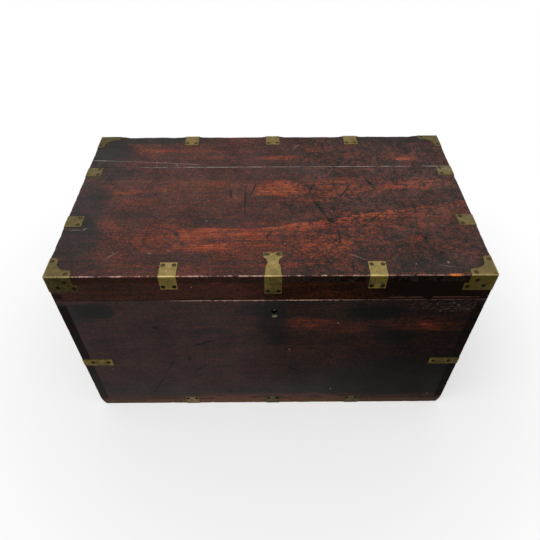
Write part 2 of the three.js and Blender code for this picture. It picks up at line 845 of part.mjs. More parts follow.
const lidFittings = [
  ...cornerNames.map(([long, end]) => ({
    name: `lid_bracket_${long}_${end}`,
    make: (grow) => cornerBracket(ends[end], longs[long], grow),
  })),
  { name: "lid_front_hasp_strap", make: haspStrap },
  ...lidStraps("front", frontStrapShares, frontStrapReach),
  ...lidStraps("back", backStrapShares, backStrapReach),
  ...lidStraps("left", sideStrapShares, sideStrapReach),
  ...lidStraps("right", sideStrapShares, sideStrapReach),
  ...hingeShares.map((share, index) => ({
    name: `hinge_lid_leaf_${index + 1}`,
    make: (grow) => hingeLeaf(share * halfWidth, lidBottom, -1, 1, railThick, grow),
  })),
  { name: "lock_link_plate", make: linkPlate },
];

const baseFittings = [
  ...cornerNames.map(([long, end]) => ({
    name: `base_corner_strap_${long}_${end}`,
    make: (grow) => cornerStrap(ends[end], longs[long], grow),
  })),
  ...footStraps("front", frontFootShares),
  ...footStraps("back", backFootShares),
  ...footStraps("left", sideFootShares),
  ...footStraps("right", sideFootShares),
  ...hingeShares.map((share, index) => ({
    name: `hinge_base_leaf_${index + 1}`,
    make: (grow) => hingeLeaf(share * halfWidth, baseTop, 1, 0, wallThick, grow),
  })),
  ...Object.keys(ends).map((end) => ({
    name: `handle_plate_${end}`,
    make: (grow) => handlePlate(ends[end], grow),
  })),
];

// Wood
const wallTails = tailMiddles(wallBottom, baseTop, tailCount, tailWidth, bottomPinWidth, topPinWidth);
const railTails = tailMiddles(lidBottom, railTop, railTailCount, railTailWidth, railPinWidth, railPinWidth);
const topJoint = halfDepth - topJointFromBack;
const bottomJoint = halfDepth - bottomJointFromBack;

// A bottom board with the chest's plan corners worn round at its outer edge
function bottomBoard(longFace, joint) {
  const outer = longFace.at;
  const turn = outer - longFace.out * footRadius;
  const towards = longFace.out * 90;
  const outline = outlineOf([
    [-halfWidth, joint + (longFace.out * fitGap) / 2],
    ...arc(footRadius - halfWidth, turn, footRadius, 180, 180 - towards),
    ...arc(halfWidth - footRadius, turn, footRadius, towards, 0),
    [halfWidth, joint + (longFace.out * fitGap) / 2],
  ]);
  return prism("z", outline, [0, bottomThick]);
}

function topBoard(low, high) {
  return block({ x: [-halfWidth, halfWidth], y: [low, high], z: [chestHeight - topThick, chestHeight] });
}

function railEnd(face) {
  return tailBoard(face, railThick, lidBottom, railTop, railTails, railTailWidth);
}

function railLong(face) {
  return pinBoard(face, railThick, lidBottom, railTop, railTails, railTailWidth);
}

function wallEnd(face) {
  return tailBoard(face, wallThick, wallBottom, baseTop, wallTails, tailWidth);
}

function wallLong(face) {
  return pinBoard(face, wallThick, wallBottom, baseTop, wallTails, tailWidth);
}

const lidBevel = backBevel(lidBottom, 1);
const baseBevel = backBevel(baseTop, -1);
const lidRecess = joined([...lidFittings.map(({ make }) => make(fitGap)), lidBevel]);
const baseRecess = joined([...baseFittings.map(({ make }) => make(fitGap)), baseBevel, lockPocket()]);

const lidWood = {
  lid_top_front_board: topBoard(-halfDepth, topJoint - fitGap),
  lid_top_rear_board: topBoard(topJoint, halfDepth),
  lid_front_rail: railLong(faces.front),
  lid_back_rail: railLong(faces.back),
  lid_left_rail: railEnd(faces.left),
  lid_right_rail: railEnd(faces.right),
};
const baseWood = {
  front_board: wallLong(faces.front),
  back_board: wallLong(faces.back),
  left_end_board: wallEnd(faces.left),
  right_end_board: wallEnd(faces.right),
  bottom_front_board: bottomBoard(faces.front, bottomJoint),
  bottom_rear_board: bottomBoard(faces.back, bottomJoint),
};

// Assembly
function meshOf(name, shape, finish) {
  const { vertProperties, triVerts } = shape.getMesh();
  const geometry = new THREE.BufferGeometry();
  geometry.setAttribute("position", new THREE.BufferAttribute(vertProperties, 3));
  geometry.setIndex(new THREE.BufferAttribute(triVerts, 1));
  geometry.computeVertexNormals();
  const mesh = new THREE.Mesh(geometry, new THREE.MeshStandardMaterial(finish));
  mesh.name = name;
  return mesh;
}

const chest = new THREE.Group();
const lid = new THREE.Group();
const base = new THREE.Group();
chest.add(lid, base);

for (const [name, shape] of Object.entries(lidWood)) {
  lid.add(meshOf(name, shape.subtract(lidRecess), boardWood));
}
for (const [name, shape] of Object.entries(baseWood)) {
  const finish = name.startsWith("bottom") ? bottomWood : boardWood;
  base.add(meshOf(name, shape.subtract(baseRecess), finish));
}
for (const { name, make } of lidFittings) {
  lid.add(meshOf(name, make(0), agedBrass));
}
for (const { name, make } of baseFittings) {
  base.add(meshOf(name, make(0), agedBrass));
}
hingeShares.forEach((share, index) => {
  base.add(meshOf(`hinge_pin_${index + 1}`, hingePin(share * halfWidth), lockSteel));
});
for (const end of Object.keys(ends)) {
  base.add(meshOf(`handle_bail_${end}`, bail(ends[end]), agedBrass));
}
base.add(meshOf("lock_case", lockCase(), agedBrass));
base.add(meshOf("lock_back_plate", lockBackPlate(0), agedBrass));
base.add(meshOf("lock_key_pin", keyPin(), lockSteel));
base.add(meshOf("lock_bolt", lockBolt(), lockSteel));

export default chest;
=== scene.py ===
"""Sea chest: worn boards, let-in brass and the finish of every piece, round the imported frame.
Sizes are in millimetres, and a finished piece is scaled to metres as it is fitted."""
import json
import math
import random

import bmesh
import bpy
from mathutils import Matrix, Vector, noise

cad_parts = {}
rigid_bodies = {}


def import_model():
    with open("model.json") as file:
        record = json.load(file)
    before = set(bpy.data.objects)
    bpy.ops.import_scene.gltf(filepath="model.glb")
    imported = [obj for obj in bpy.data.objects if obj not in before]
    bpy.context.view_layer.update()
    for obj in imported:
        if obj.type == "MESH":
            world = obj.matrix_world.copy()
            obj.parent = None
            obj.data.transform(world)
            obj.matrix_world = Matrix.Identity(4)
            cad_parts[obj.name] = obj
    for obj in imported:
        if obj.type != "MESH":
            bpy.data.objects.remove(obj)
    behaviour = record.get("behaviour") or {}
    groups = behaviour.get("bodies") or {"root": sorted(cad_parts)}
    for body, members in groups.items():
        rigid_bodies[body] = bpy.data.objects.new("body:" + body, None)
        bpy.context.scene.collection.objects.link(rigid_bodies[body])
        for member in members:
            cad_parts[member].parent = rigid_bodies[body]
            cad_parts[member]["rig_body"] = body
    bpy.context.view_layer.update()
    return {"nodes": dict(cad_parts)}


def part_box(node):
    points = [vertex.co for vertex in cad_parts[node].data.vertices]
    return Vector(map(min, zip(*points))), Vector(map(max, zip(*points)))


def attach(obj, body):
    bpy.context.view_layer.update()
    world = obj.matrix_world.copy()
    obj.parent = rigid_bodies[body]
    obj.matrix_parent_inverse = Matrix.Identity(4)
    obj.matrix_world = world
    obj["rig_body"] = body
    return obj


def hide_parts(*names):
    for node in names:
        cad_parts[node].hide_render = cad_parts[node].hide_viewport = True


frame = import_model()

MM = 0.001


def box(node):
    """A node's lowest and highest corner in millimetres."""
    return [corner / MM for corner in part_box(node)]


def middle(node):
    low, high = box(node)
    return (low + high) / 2


# The chest's outer faces and joints, read from its boards
LEFT = box("lid_top_front_board")[0].x
RIGHT = box("lid_top_front_board")[1].x
FRONT = box("left_end_board")[0].y
BACK = box("left_end_board")[1].y
TOP = box("lid_top_front_board")[1].z
TOP_JOINT = box("lid_top_rear_board")[0].y
BASE_TOP = box("front_board")[1].z
LID_UNDER = box("lid_front_rail")[0].z
WALL_FOOT = box("front_board")[0].z
BOTTOM_JOINT = box("bottom_rear_board")[0].y
WALL = box("front_board")[1].y - FRONT

# How finely pieces are made: points nearer than this are one, faces that meet at less than
# the smooth angle are shaded as one, and edges sharper than the sharp angle are softened
SAME_POINT = 0.002
SMOOTH_ANGLE = 32
SHARP_ANGLE = 40
EDGE_SEGMENTS = 2
CORNER_SEGMENTS = 6
BEND_SEGMENTS = 4

# Brass let into the wood, and its screws
BRASS_THICK = 2
BRASS_PROUD = 0.8
BRASS_EDGE = 0.2
BEND_ROUND = 1.0
FLAP_CORNER = 1.5
HEAD_RADIUS = 3.75
HEAD_FOOT_SHARE = 0.8
HEAD_CROWN = 0.5
HEAD_CROWN_STEPS = (0.55, 0.3)
HEAD_CROWN_INSET = 0.3
HEAD_SET = 0.45
HEAD_SIDES = 20
SLOT_WIDTH = 0.9
SLOT_FOOT = -0.75
SINK_RADIUS = 4.8
SINK_FOOT = 1.9
SINK_DEPTH = 2.6
SINK_SIDES = 24
SINK_OVERCUT = 0.1
SINK_LIP = 0.02
SCREW_SPACING = 23

# Straps that turn over an edge of the lid or the foot; the lid's reach goes by side
STRAP_WIDTH = 36
STRAP_DROP = 38.3
STRAP_REACH = {"front": 39, "back": 42, "left": 37.5, "right": 37.5}
STRAP_SCREW_INSET = 8
STRAP_CORNER = 1.2
FOOT_WIDTH = 34
FOOT_REACH = 42
FOOT_RISE = 34
FOOT_CORNER = 4.5

# Straps round the base's upright corners
CORNER_STRAP_HALF = 12.5
CORNER_STRAP_REACH = 71
CORNER_STRAP_SCREWS = [23.4, 61]

# Lid corner brackets, from the corner
BRACKET_REACH = 54
BRACKET_ARM = 18
BRACKET_HOLLOW = 24
BRACKET_END = 9
BRACKET_STEP = 23
BRACKET_TAB = 62.5
BRACKET_DROP = 45
BRACKET_TOP_SCREWS = [(43.2, 6.8), (6.8, 43.2)]
BRACKET_FLAP_SCREWS = [(38.8, 15.3), (21.6, 31.5), (53.8, 34.2)]

# The waisted strap over the lock: distance from the front edge, and half width there
HASP_HALF_WIDTHS = [(0, 16.7), (24, 15.6), (37, 11.2), (44, 12.4), (57, 20.9), (65, 21.7)]
HASP_STEP = 3
HASP_REACH = 68.5
HASP_BOW = 3
HASP_BOW_SHARES = (0.85, 0.7, 0.55, 0.4, 0.25, 0.12, 0.0)
HASP_FLAP_HALF = 17.9
HASP_FLAP_CORNER = 1
HASP_DROP = 53.3
HASP_TOP_SCREWS = [(-11.2, 62), (11.2, 62)]
HASP_FLAP_SCREWS = [(-11.2, 45.3), (11.2, 45.3)]

# Hinges
HINGE_THICK = 2
HINGE_DROP = 44
HINGE_SCREWS = [(-23.8, 33.4), (0, 18.5), (23.8, 33.4)]
BARREL_RADIUS = 4.5
BARREL_SIDES = 28
BARREL_ROOM = 0.7
WEB_END = 3.6
PIN_RADIUS = 2.4
PIN_EDGE = 0.4
PIVOT_INSET = 6
KNUCKLES = 5
KNUCKLE_GAP = 0.3

# Handles
HANDLE_MIDDLE = 300
PLATE_CORNER = 6
PLATE_SCREW = 66
BOSS_STAND_OFF = 11
BOSS_RADIUS = 7
BOSS_WIDTH = 12
BOSS_MIDDLE = 51
BAIL_SPAN = 80
BAIL_DROP = 52
BAIL_BEND = 22
BAIL_RADIUS = 4.5
BAIL_SIDES = 20
BAIL_BEND_STEPS = 12
BAIL_EDGE = 0.5
BAIL_PIN_RADIUS = 3
BAIL_PIN_PROUD = 1.5
EYE_RADIUS = 5.5
EYE_WIDTH = 9
GRIP_LENGTH = 52
GRIP_RADIUS = 6.5
GRIP_END_RADIUS = 5
GRIP_STEPS = 16
HEEL_THICK = 8

# Lock
LOCK_EDGE = 0.25
KEY_PIN_ROUND = 0.45
KEYHOLE_RADIUS = 6.6
KEYHOLE_SINK = 12
KEYHOLE_SIDES = 36

# Wear of the boards: rows of points beside an edge, and how far its rounding and chips go
ARRIS_ROWS = [0.6, 1.4, 2.6, 4.4, 7.0]
BACK_ROWS = [1, 2.4, 4.4, 7, 10, 14]
CORNER_ROWS = [0.6, 1.4, 2.6, 4.4, 7, 10.5, 15, 20]
ARRIS_STEP = 5.5
WEAR_WAVE = 34
LEAST_WEAR = 0.3
CHIP_HALVES = (2.5, 9)
CHIP_SHARES = (0.3, 1)
BRASS_WEAR = 0.9
WEAR_SLOPE = 0.4
CORNER_ROUND = 20
CORNER_WORN = 14
CORNER_ROUND_TOP = 38

# The crack in the rear top board
CRACK_ENDS = (-458, -170)
CRACK_STEP = 20
CRACK_MIDDLE = -318
CRACK_HALF = 140
CRACK_LEVEL = 138.7
CRACK_FALL = 10.7
CRACK_SAG = 2.2
CRACK_WIDTH = 1.0
CRACK_DEPTH = 9

# The lid's bright band and its knot
BAND_BEND = -20
BAND_SLOPE = 0.2
BAND_EDGE = -118
KNOT = (-234, -148)

# Where the finishes change: over the foot straps, and at the keyhole and the waisted strap
FOOT_TOP = 44
KEYHOLE_X = 7.5
HASP_X = 4

# Floor and surrounding light: the floor fades to white between its near and far distance
FLOOR_HALF = 9000
FLOOR_NEAR = 560
FLOOR_FAR = 1100
FLOOR_LIFT = 0.5
FLOOR_COLOUR = (0.95, 0.95, 0.95, 1)
WORLD_LIGHT = 0.66

# Lamp and camera, in metres, watts and degrees; lens and sensor in millimetres
LAMP_AT = (-0.9, -1.1, 4.2)
LAMP_AIM = (0, 0, 0.3)
LAMP_SIZE = 2.4
LAMP_POWER = 56
EYE = (-0.005, -0.944, 1.228)
LENS = 33.12
SENSOR = 36
VIEW_TURN = (0.25, 46.03, 0.15)


class Wire:
    """A shader socket on which sums and products can be written."""

    def __init__(self, nodes, socket):
        self.nodes = nodes
        self.socket = socket

    def __add__(self, other):
        return self.nodes.math("ADD", self, other)

    def __sub__(self, other):
        return self.nodes.math("SUBTRACT", self, other)

    def __mul__(self, other):
        return self.nodes.math("MULTIPLY", self, other)

    def __truediv__(self, other):
        return self.nodes.math("DIVIDE", self, other)

    def __radd__(self, other):
        return self.nodes.math("ADD", other, self)

    def __rsub__(self, other):
        return self.nodes.math("SUBTRACT", other, self)

    def __rmul__(self, other):
        return self.nodes.math("MULTIPLY", other, self)

    def __abs__(self):
        return self.nodes.math("ABSOLUTE", self)


def srgb(red, green, blue):
    """A colour given as 0 to 255 on screen, as the linear one that shaders use."""
    shares = [value / 255 for value in (red, green, blue)]
    return tuple(s / 12.92 if s <= 0.04045 else ((s + 0.055) / 1.055) ** 2.4 for s in shares) + (1,)


class Nodes:
    """A node tree, built up from wires."""

    def __init__(self, tree):
        self.tree = tree
        tree.nodes.clear()

    def add(self, kind, settings=None, values=()):
        """A node of a type: its settings are set first, then its sockets' values or links."""
        node = self.tree.nodes.new(kind)
        for key, value in (settings or {}).items():
            if key == "stops":
                while len(node.color_ramp.elements) < len(value):
                    node.color_ramp.elements.new(1)
                for element, (place, colour) in zip(node.color_ramp.elements, value):
                    element.position = place
                    element.color = colour
            else:
                setattr(node, key, value)
        for key, value in values.items() if isinstance(values, dict) else enumerate(values):
            if isinstance(value, Wire):
                self.tree.links.new(value.socket, node.inputs[key])
            else:
                node.inputs[key].default_value = value
        return node

    def wire(self, kind, output, settings=None, values=()):
        return Wire(self, self.add(kind, settings, values).outputs[output])

    def math(self, operation, *terms, clamp=False):
        return self.wire("ShaderNodeMath", 0, {"operation": operation, "use_clamp": clamp}, terms)

    def clamp(self, value):
        return self.math("ADD", value, 0, clamp=True)

    def lowest(self, first, *others):
        for other in others:
            first = self.math("MINIMUM", first, other)
        return first

    def highest(self, first, *others):
        for other in others:
            first = self.math("MAXIMUM", first, other)
        return first

    def seen_white(self):
        """1 for the rays that see a white studio: camera, glossy and transmission rays."""
        rays = self.add("ShaderNodeLightPath").outputs
        kinds = ("Is Camera Ray", "Is Glossy Ray", "Is Transmission Ray")
        return self.highest(*[Wire(self, rays[kind]) for kind in kinds])

    def either(self, share, first, second):
        """A mix of two shaders."""
        return self.wire("ShaderNodeMixShader", 0, None, [share, first, second])


class Finish(Nodes):
    """One material, built up from wires on a Principled shader."""

    def __init__(self, name, **constants):
        self.material = bpy.data.materials.new(name)
        self.material.use_nodes = True
        super().__init__(self.material.node_tree)
        self.output = self.add("ShaderNodeOutputMaterial")
        self.shader = self.add("ShaderNodeBsdfPrincipled")
        self.tree.links.new(self.shader.outputs[0], self.output.inputs[0])
        for socket, value in constants.items():
            self.shader.inputs[socket.replace("_", " ")].default_value = value
        metres = self.wire("ShaderNodeTexCoord", "Object")
        self.place = self.vector("SCALE", metres, scale=1 / MM)
        self.x, self.y, self.z = self.parts(self.place)

    def parts(self, vector):
        return [Wire(self, out) for out in self.add("ShaderNodeSeparateXYZ", None, [vector]).outputs]

    def vector(self, operation, *terms, scale=None):
        values = dict(enumerate(terms))
        if scale is not None:
            values["Scale"] = scale
        return self.wire("ShaderNodeVectorMath", 0, {"operation": operation}, values)

    def length(self, vector):
        return self.wire("ShaderNodeVectorMath", 1, {"operation": "LENGTH"}, [vector])

    def rise(self, value, start, end):
        """0 at start and 1 at end, with a soft slope between; start may be the larger."""
        return self.wire("ShaderNodeMapRange", 0, {"interpolation_type": "SMOOTHSTEP"},
                         {"Value": value, "From Min": start, "From Max": end})

    def mapped(self, centre, size, turn=(0, 0, 0), place=None):
        """Places measured from a centre, in units of a size, on turned axes."""
        turned = [math.radians(angle) for angle in turn]
        return self.wire("ShaderNodeMapping", 0, {"vector_type": "TEXTURE"}, {
            "Vector": place or self.place, "Location": centre, "Rotation": turned, "Scale": size})

    def noise(self, size, detail=3, rough=0.55, centre=(0, 0, 0), turn=(0, 0, 0), bend=0.0, place=None):
        """Soft noise round a half, with spots of a size along each axis."""
        return self.wire("ShaderNodeTexNoise", 0, None, {
            "Vector": self.mapped(centre, size, turn, place), "Scale": 1.0, "Detail": detail,
            "Roughness": rough, "Distortion": bend})

    def cells(self, size, centre=(0, 0, 0)):
        """Distance to the nearest of many scattered points, in units of the size."""
        return self.wire("ShaderNodeTexVoronoi", "Distance", None, {
            "Vector": self.mapped(centre, size), "Scale": 1.0})

    def wandering(self, size, amount, place=None):
        """Places pushed about by soft noise, by an amount along each axis."""
        pushes = self.wire("ShaderNodeTexNoise", 1, None, {
            "Vector": self.mapped((0, 0, 0), size), "Scale": 1.0, "Detail": 3.0})
        centred = self.vector("SUBTRACT", pushes, (0.5, 0.5, 0.5))
        return self.vector("ADD", place or self.place, self.vector("MULTIPLY", centred, amount))

    def spot(self, place, centre, size, turn=(0, 0, 0), soft=0.6):
        """1 in the middle of a soft-edged egg shape, and 0 outside it."""
        return self.rise(self.length(self.mapped(centre, size, turn, place)), 1.0, 1.0 - soft)

    def ramp(self, value, stops):
        return self.wire("ShaderNodeValToRGB", 0, {"stops": stops}, [value])

    def mix(self, share, first, second, kind="MIX"):
        """A colour between two, by a share from 0 to 1."""
        settings = {"data_type": "RGBA", "blend_type": kind}
        return self.wire("ShaderNodeMix", 2, settings, {0: share, 6: first, 7: second})

    def paint(self, share, tint, kind="MIX"):
        """Lays a colour over what is there, by a share from 0 to 1."""
        self.colour = self.mix(share, self.colour, tint, kind)

    def set(self, socket, value):
        self.tree.links.new(value.socket, self.shader.inputs[socket])

    def bump(self, height, depth):
        """Relief: height from 0 to 1 stands for a depth in millimetres."""
        self.set("Normal", self.wire("ShaderNodeBump", 0, None, {
            "Height": height, "Distance": depth * MM, "Strength": 1.0}))


# Figure of the lid: middle x and y, half sizes, turn in degrees, and how much lighter it is there
LID_FIGURE = [
    (24, 26, 84, 42, 0, 0.54),
    (190, 52, 130, 30, 3, 0.22),
    (-160, 34, 150, 40, 0, 0.1),
    (118, -180, 98, 44, 0, 0.26),
    (-205, -205, 120, 20, 0, -0.16),
    (-400, 90, 90, 46, 0, -0.22),
    (-420, -40, 50, 120, 0, -0.26),
    (120, 46, 70, 16, 4, 0.16),
    (350, 42, 120, 30, 3, 0.3),
    (-335, 12, 62, 18, 0, 0.18),
    (-345, -120, 28, 56, 25, 0.08),
    (-250, 196, 155, 16, 0, 0.13),
    (28, 158, 80, 12, 0, 0.24),
    (122, 194, 40, 18, 0, 0.2),
    (345, 163, 115, 20, 3, 0.16),
    (352, 149, 40, 13, 0, 0.34),
    (315, -148, 28, 18, 0, 0.26),
    (384, -190, 32, 12, -40, 0.28),
    (-130, -176, 76, 17, 3, 0.3),
    (-160, -135, 66, 22, 4, 0.14),
    (205, 20, 170, 26, 3, 0.22),
    (110, -13, 130, 18, 4, 0.18),
    (-425, -150, 84, 88, 0, -0.27),
    (-410, -232, 90, 32, 0, -0.16),
    (-432, 186, 98, 80, 0, -0.36),
    (-300, 246, 200, 28, 0, -0.3),
    (330, 246, 180, 28, 0, -0.22),
    (88, -236, 120, 22, 0, 0.09),
    (330, -236, 150, 28, 0, -0.16),
    (-200, -136, 10, 8, 0, -0.5),
    (-192, -166, 8, 12, 20, -0.5),
    (-330, -72, 90, 22, 0, -0.12),
    (-310, -18, 70, 18, 0, 0.1),
    (-120, -92, 90, 16, 0, -0.12),
    (262, -150, 22, 14, 20, -0.3),
    (246, -98, 52, 15, 4, 0.1),
    (318, -136, 40, 16, 10, -0.22),
    (92, 36, 10, 15, 20, -0.4),
    (168, -66, 30, 16, 0, 0.24),
    (222, 170, 40, 24, 0, 0.14),
    (-442, 44, 26, 22, 0, -0.16),
    (0, -98, 32, 12, 0, 0.12),
]
# Dark scratches on the lid: from, to and width
LID_SCRATCHES = [
    ((92, 4), (134, -96), 3.4), ((123, -82), (146, -100), 6.5), ((227, 84), (257, 9), 3.6),
    ((149, -107), (149, -186), 2.4), ((200, 52), (155, -26), 1.8), ((337, -139), (332, -178), 3.6),
    ((174, -2), (200, -23), 2.4), ((-59, 76), (-58, -97), 1.9), ((-94, 31), (-93, -16), 2.8),
    ((-30, 60), (-52, -20), 1.7), ((-339, 0), (-284, 15), 2.0), ((10, -120), (-14, -152), 2.6),
    ((110, 60), (86, -10), 1.6), ((260, -60), (190, -128), 1.6), ((40, -170), (84, -214), 1.6),
]
# Pale scratches and specks on the lid
LID_SCUFFS = [
    ((157, -195), (204, -222), 0.7), ((-454, -120), (-406, -121), 0.8), ((-416, -118), (-402, -116), 1.2),
    ((361, -226), (369, -226), 3.2), ((296, -230), (300, -230), 2.0), ((-238, 133), (-234, 120), 1.2),
    ((-262, -192), (-248, -198), 1.2), ((-222, -186), (-208, -190), 1.0), ((340, -232), (378, -241), 0.7),
    ((60, 196), (84, 228), 0.9), ((-146, -92), (-140, -92), 1.8), ((-348, -214), (-318, -190), 0.7),
]
# Figure of the front: middle x and z, half sizes, turn, and how much lighter
FRONT_FIGURE = [
    (65, 354, 90, 26, 0, 0.16),
    (140, 336, 110, 34, 0, 0.14),
    (330, 340, 130, 34, -3, 0.16),
    (350, 336, 40, 14, -30, 0.2),
    (100, 250, 200, 40, 0, 0.03),
    (-130, 452, 180, 17, 0, 0.06),
    (110, 450, 70, 14, 0, 0.05),
    (-60, 476, 180, 10, 0, 0.05),
    (-110, 486, 30, 8, 0, 0.16),
    (-140, 322, 80, 16, 6, -0.12),
    (226, 388, 80, 34, 0, -0.16),
    (290, 296, 70, 40, 0, -0.1),
    (-20, 396, 70, 28, 0, -0.12),
    (8, 334, 46, 90, 0, -0.1),
    (-424, 384, 40, 44, 0, -0.12),
    (330, 466, 160, 34, 0, -0.2),
    (290, 110, 230, 130, 0, -0.08),
]
FRONT_SCRATCHES = [
    ((-194, 262), (-123, 291), 2.8), ((-315, 40), (-262, 150), 1.4), ((-262, 150), (-225, 232), 1.3),
    ((-195, 229), (-199, 199), 3.4), ((-113, 77), (-101, 46), 2.4), ((-272, 336), (-248, 336), 3.2),
    ((-150, 196), (-196, 150), 1.4), ((40, 180), (74, 150), 1.8),
]

WOOD_STOPS = [
    (0.0, srgb(16, 9, 5)),
    (0.16, srgb(38, 20, 11)),
    (0.34, srgb(66, 28, 15)),
    (0.5, srgb(93, 38, 17)),
    (0.68, srgb(122, 49, 19)),
    (0.86, srgb(140, 58, 22)),
    (1.0, srgb(158, 76, 36)),
]
BARE_STOPS = [
    (0.0, srgb(38, 26, 20)),
    (0.35, srgb(74, 50, 37)),
    (0.7, srgb(112, 78, 54)),
    (1.0, srgb(148, 110, 76)),
]
# Pink of rubbed polish on an arris, pale enough to be a painted highlight on the rounded edge as well
WORN_PINK_AND_HIGHLIGHT = srgb(188, 148, 136)
WORN_RED = srgb(128, 88, 78)
RED_TINT = (1, 0.72, 1.5, 1)
DUST = srgb(168, 152, 142)
SCRATCH = srgb(34, 31, 26)
DEEP_SCRATCH = srgb(12, 9, 8)
CHIP = srgb(16, 8, 6)
END_GRAIN = srgb(13, 15, 12)
FOOT_GRAIN = srgb(42, 42, 39)
WOOD_RELIEF = 0.35


def grain_size(along, length, width):
    """A noise size that is long in the direction of the grain."""
    return tuple(length if axis == along else width for axis in "xyz")


class Wood(Finish):
    """Old dark polish on hardwood. Its tone runs from 0, near black, to 1, orange."""

    def __init__(self, name, along, tone, lively, coat, shine):
        super().__init__(name, Specular_IOR_Level=shine, Coat_Roughness=0.3, Coat_IOR=1.45)
        self.along = along
        self.coat = coat
        self.fine = self.noise(grain_size(along, 26, 2.6), 3, 0.65)
        self.pores = self.noise(grain_size(along, 9, 0.9), 2, 0.6)
        self.narrow = self.noise(grain_size(along, 80, 5), 4, 0.65, bend=0.3)
        self.mottle = self.noise((5, 5, 5), 3, 0.8, bend=0.5)
        self.grit = self.noise((2.6, 2.6, 2.6), 2, 0.8, (12, 8, 40))
        self.cloud = self.noise((70, 70, 70), 4, 0.6)
        wide = self.noise(grain_size(along, 240, 12), 4, 0.6, bend=0.4)
        gains = ((wide, 0.5), (self.narrow, 0.45), (self.fine, 0.7), (self.mottle, 1.6),
                 (self.cloud, 0.3), (self.grit, 0.7))
        self.tone = tone
        for signal, gain in gains:
            self.tone = (signal - 0.5) * (gain * lively) + self.tone
        self.marks = 0.0
        self.scratch = SCRATCH
        self.streak = self.clamp((self.narrow - 0.5) * 3.2 + (self.fine - 0.5) * 2.4 + 0.55)

    def on_face(self, upright, place, across, level, half_across, half_level, through, turn, soft=0.6):
        """A soft egg shape on the front (upright) or on the lid, that reaches through the boards."""
        if upright:
            centre, size = (across, FRONT, level), (half_across, through, half_level)
            return self.spot(place, centre, size, (0, -turn, 0), soft)
        centre, size = (across, level, TOP), (half_across, half_level, through)
        return self.spot(place, centre, size, (0, 0, turn), soft)

    def figured(self, table, place, upright):
        """Adds a table's patches to the tone, broken into streaks."""
        for across, level, half_across, half_level, turn, gain in table:
            patch = self.on_face(upright, place, across, level, half_across, half_level, 60, turn)
            self.tone = self.tone + patch * gain * (self.streak * 0.9 + 0.5)

    def scratched(self, table, upright):
        """Thin marks, from a table of their ends and widths."""
        marks = 0.0
        for (x0, v0), (x1, v1), width in table:
            half = math.hypot(x1 - x0, v1 - v0) / 2
            angle = math.degrees(math.atan2(v1 - v0, x1 - x0))
            marks = marks + self.on_face(upright, self.place, (x0 + x1) / 2, (v0 + v1) / 2,
                                         half, width * 1.6, 9, angle, 0.7)
        return marks

    def fine_scratches(self, angles, amount, where=1.0):
        """Many short thin scratches that cross the grain."""
        for index, angle in enumerate(angles):
            hair = self.noise((34, 1.6, 34), 1, 0.5, (index * 37, index * 91, 0), (0, 0, angle))
            self.marks = self.rise(hair, 0.63, 0.71) * where * amount + self.marks

    def crazed(self, size, amount, where=1.0):
        """Dark fine lines between the plates of cracked polish."""
        place = self.wandering((6, 6, 6), (4, 4, 4))
        cell = self.wire("ShaderNodeTexVoronoi", 0, {"feature": "DISTANCE_TO_EDGE"}, {
            "Vector": self.mapped((0, 0, 0), size, place=place), "Scale": 1.0})
        broken = self.noise((16, 16, 16), 2, 0.6)
        self.marks = self.rise(cell, 0.16, 0.04) * self.rise(broken, 0.4, 0.54) * where * amount + self.marks

    def coloured(self):
        """Turns the tone and its marks into colour, redder in clouds."""
        self.colour = self.ramp(self.clamp(self.tone - self.marks * 0.12), WOOD_STOPS)
        self.paint(self.clamp(self.marks * 0.8), self.scratch)
        redder = self.noise((30, 30, 30), 3, 0.6, (50, 3, 9))
        self.paint(self.rise(redder, 0.42, 0.62) * 0.3, RED_TINT, "MULTIPLY")

    def finished(self):
        """Colour, sheen and relief from what was gathered."""
        self.set("Base Color", self.colour)
        self.set("Roughness", self.clamp(0.5 + (self.fine - 0.5) * 0.3 + (self.cloud - 0.5) * 0.3))
        self.set("Coat Weight", self.clamp(self.coat * (1 + (self.cloud - 0.5) * 0.9 - self.marks * 0.4)))
        self.bump(self.pores * 0.3 + self.mottle * 0.5 - self.clamp(self.marks) * 0.9, WOOD_RELIEF)
        return self.material


def edge_distance(f, *sides):
    """Distance to the nearest of the lines where two of the given faces meet."""
    return f.lowest(*[f.highest(first, second) for first, second in sides])


def worn_edges(f, distance, width, tint=WORN_PINK_AND_HIGHLIGHT, where=1.0, cover=0.0):
    """Rubs the polish off along an edge, in broken stretches that cover more or less of it; with the pale
    pink tint the stretch is also a painted highlight on the rounded arris.
    """
    broken = f.noise((13, 13, 13), 4, 0.75) + cover
    reach = (broken - 0.45) * width * 6
    share = f.rise(distance - reach, width * 0.4, width * -0.4) * f.rise(broken, 0.42, 0.54) * where
    f.paint(f.clamp(share * 0.9), tint)


def board_joint(f, level):
    """The dark line where two boards meet."""
    return f.rise(abs(f.y - level), 1.3, 0.5) * 0.85


def bare_inside(f, depth, joint=None):
    """Plain unpolished wood beyond a depth from the outer faces, with the joint of two boards."""
    plain = f.noise(grain_size(f.along, 300, 14), 4, 0.6, bend=0.3)
    bare = f.ramp(f.clamp(plain * 0.9 + (f.fine - 0.5) * 0.5), BARE_STOPS)
    if joint is not None:
        bare = f.mix(board_joint(f, joint), bare, CHIP)
    f.paint(f.rise(depth, WALL - 5, WALL - 1), bare)


def to_end(f):
    """Distance to the nearer end of the chest."""
    return abs(RIGHT - abs(f.x))


def to_side(f):
    """Distance to the front or the back of the chest, whichever is nearer."""
    return abs(BACK - abs(f.y))


def depth_inside(f):
    """How deep a point lies behind the chest's four walls."""
    return f.lowest(RIGHT - abs(f.x), BACK - abs(f.y))


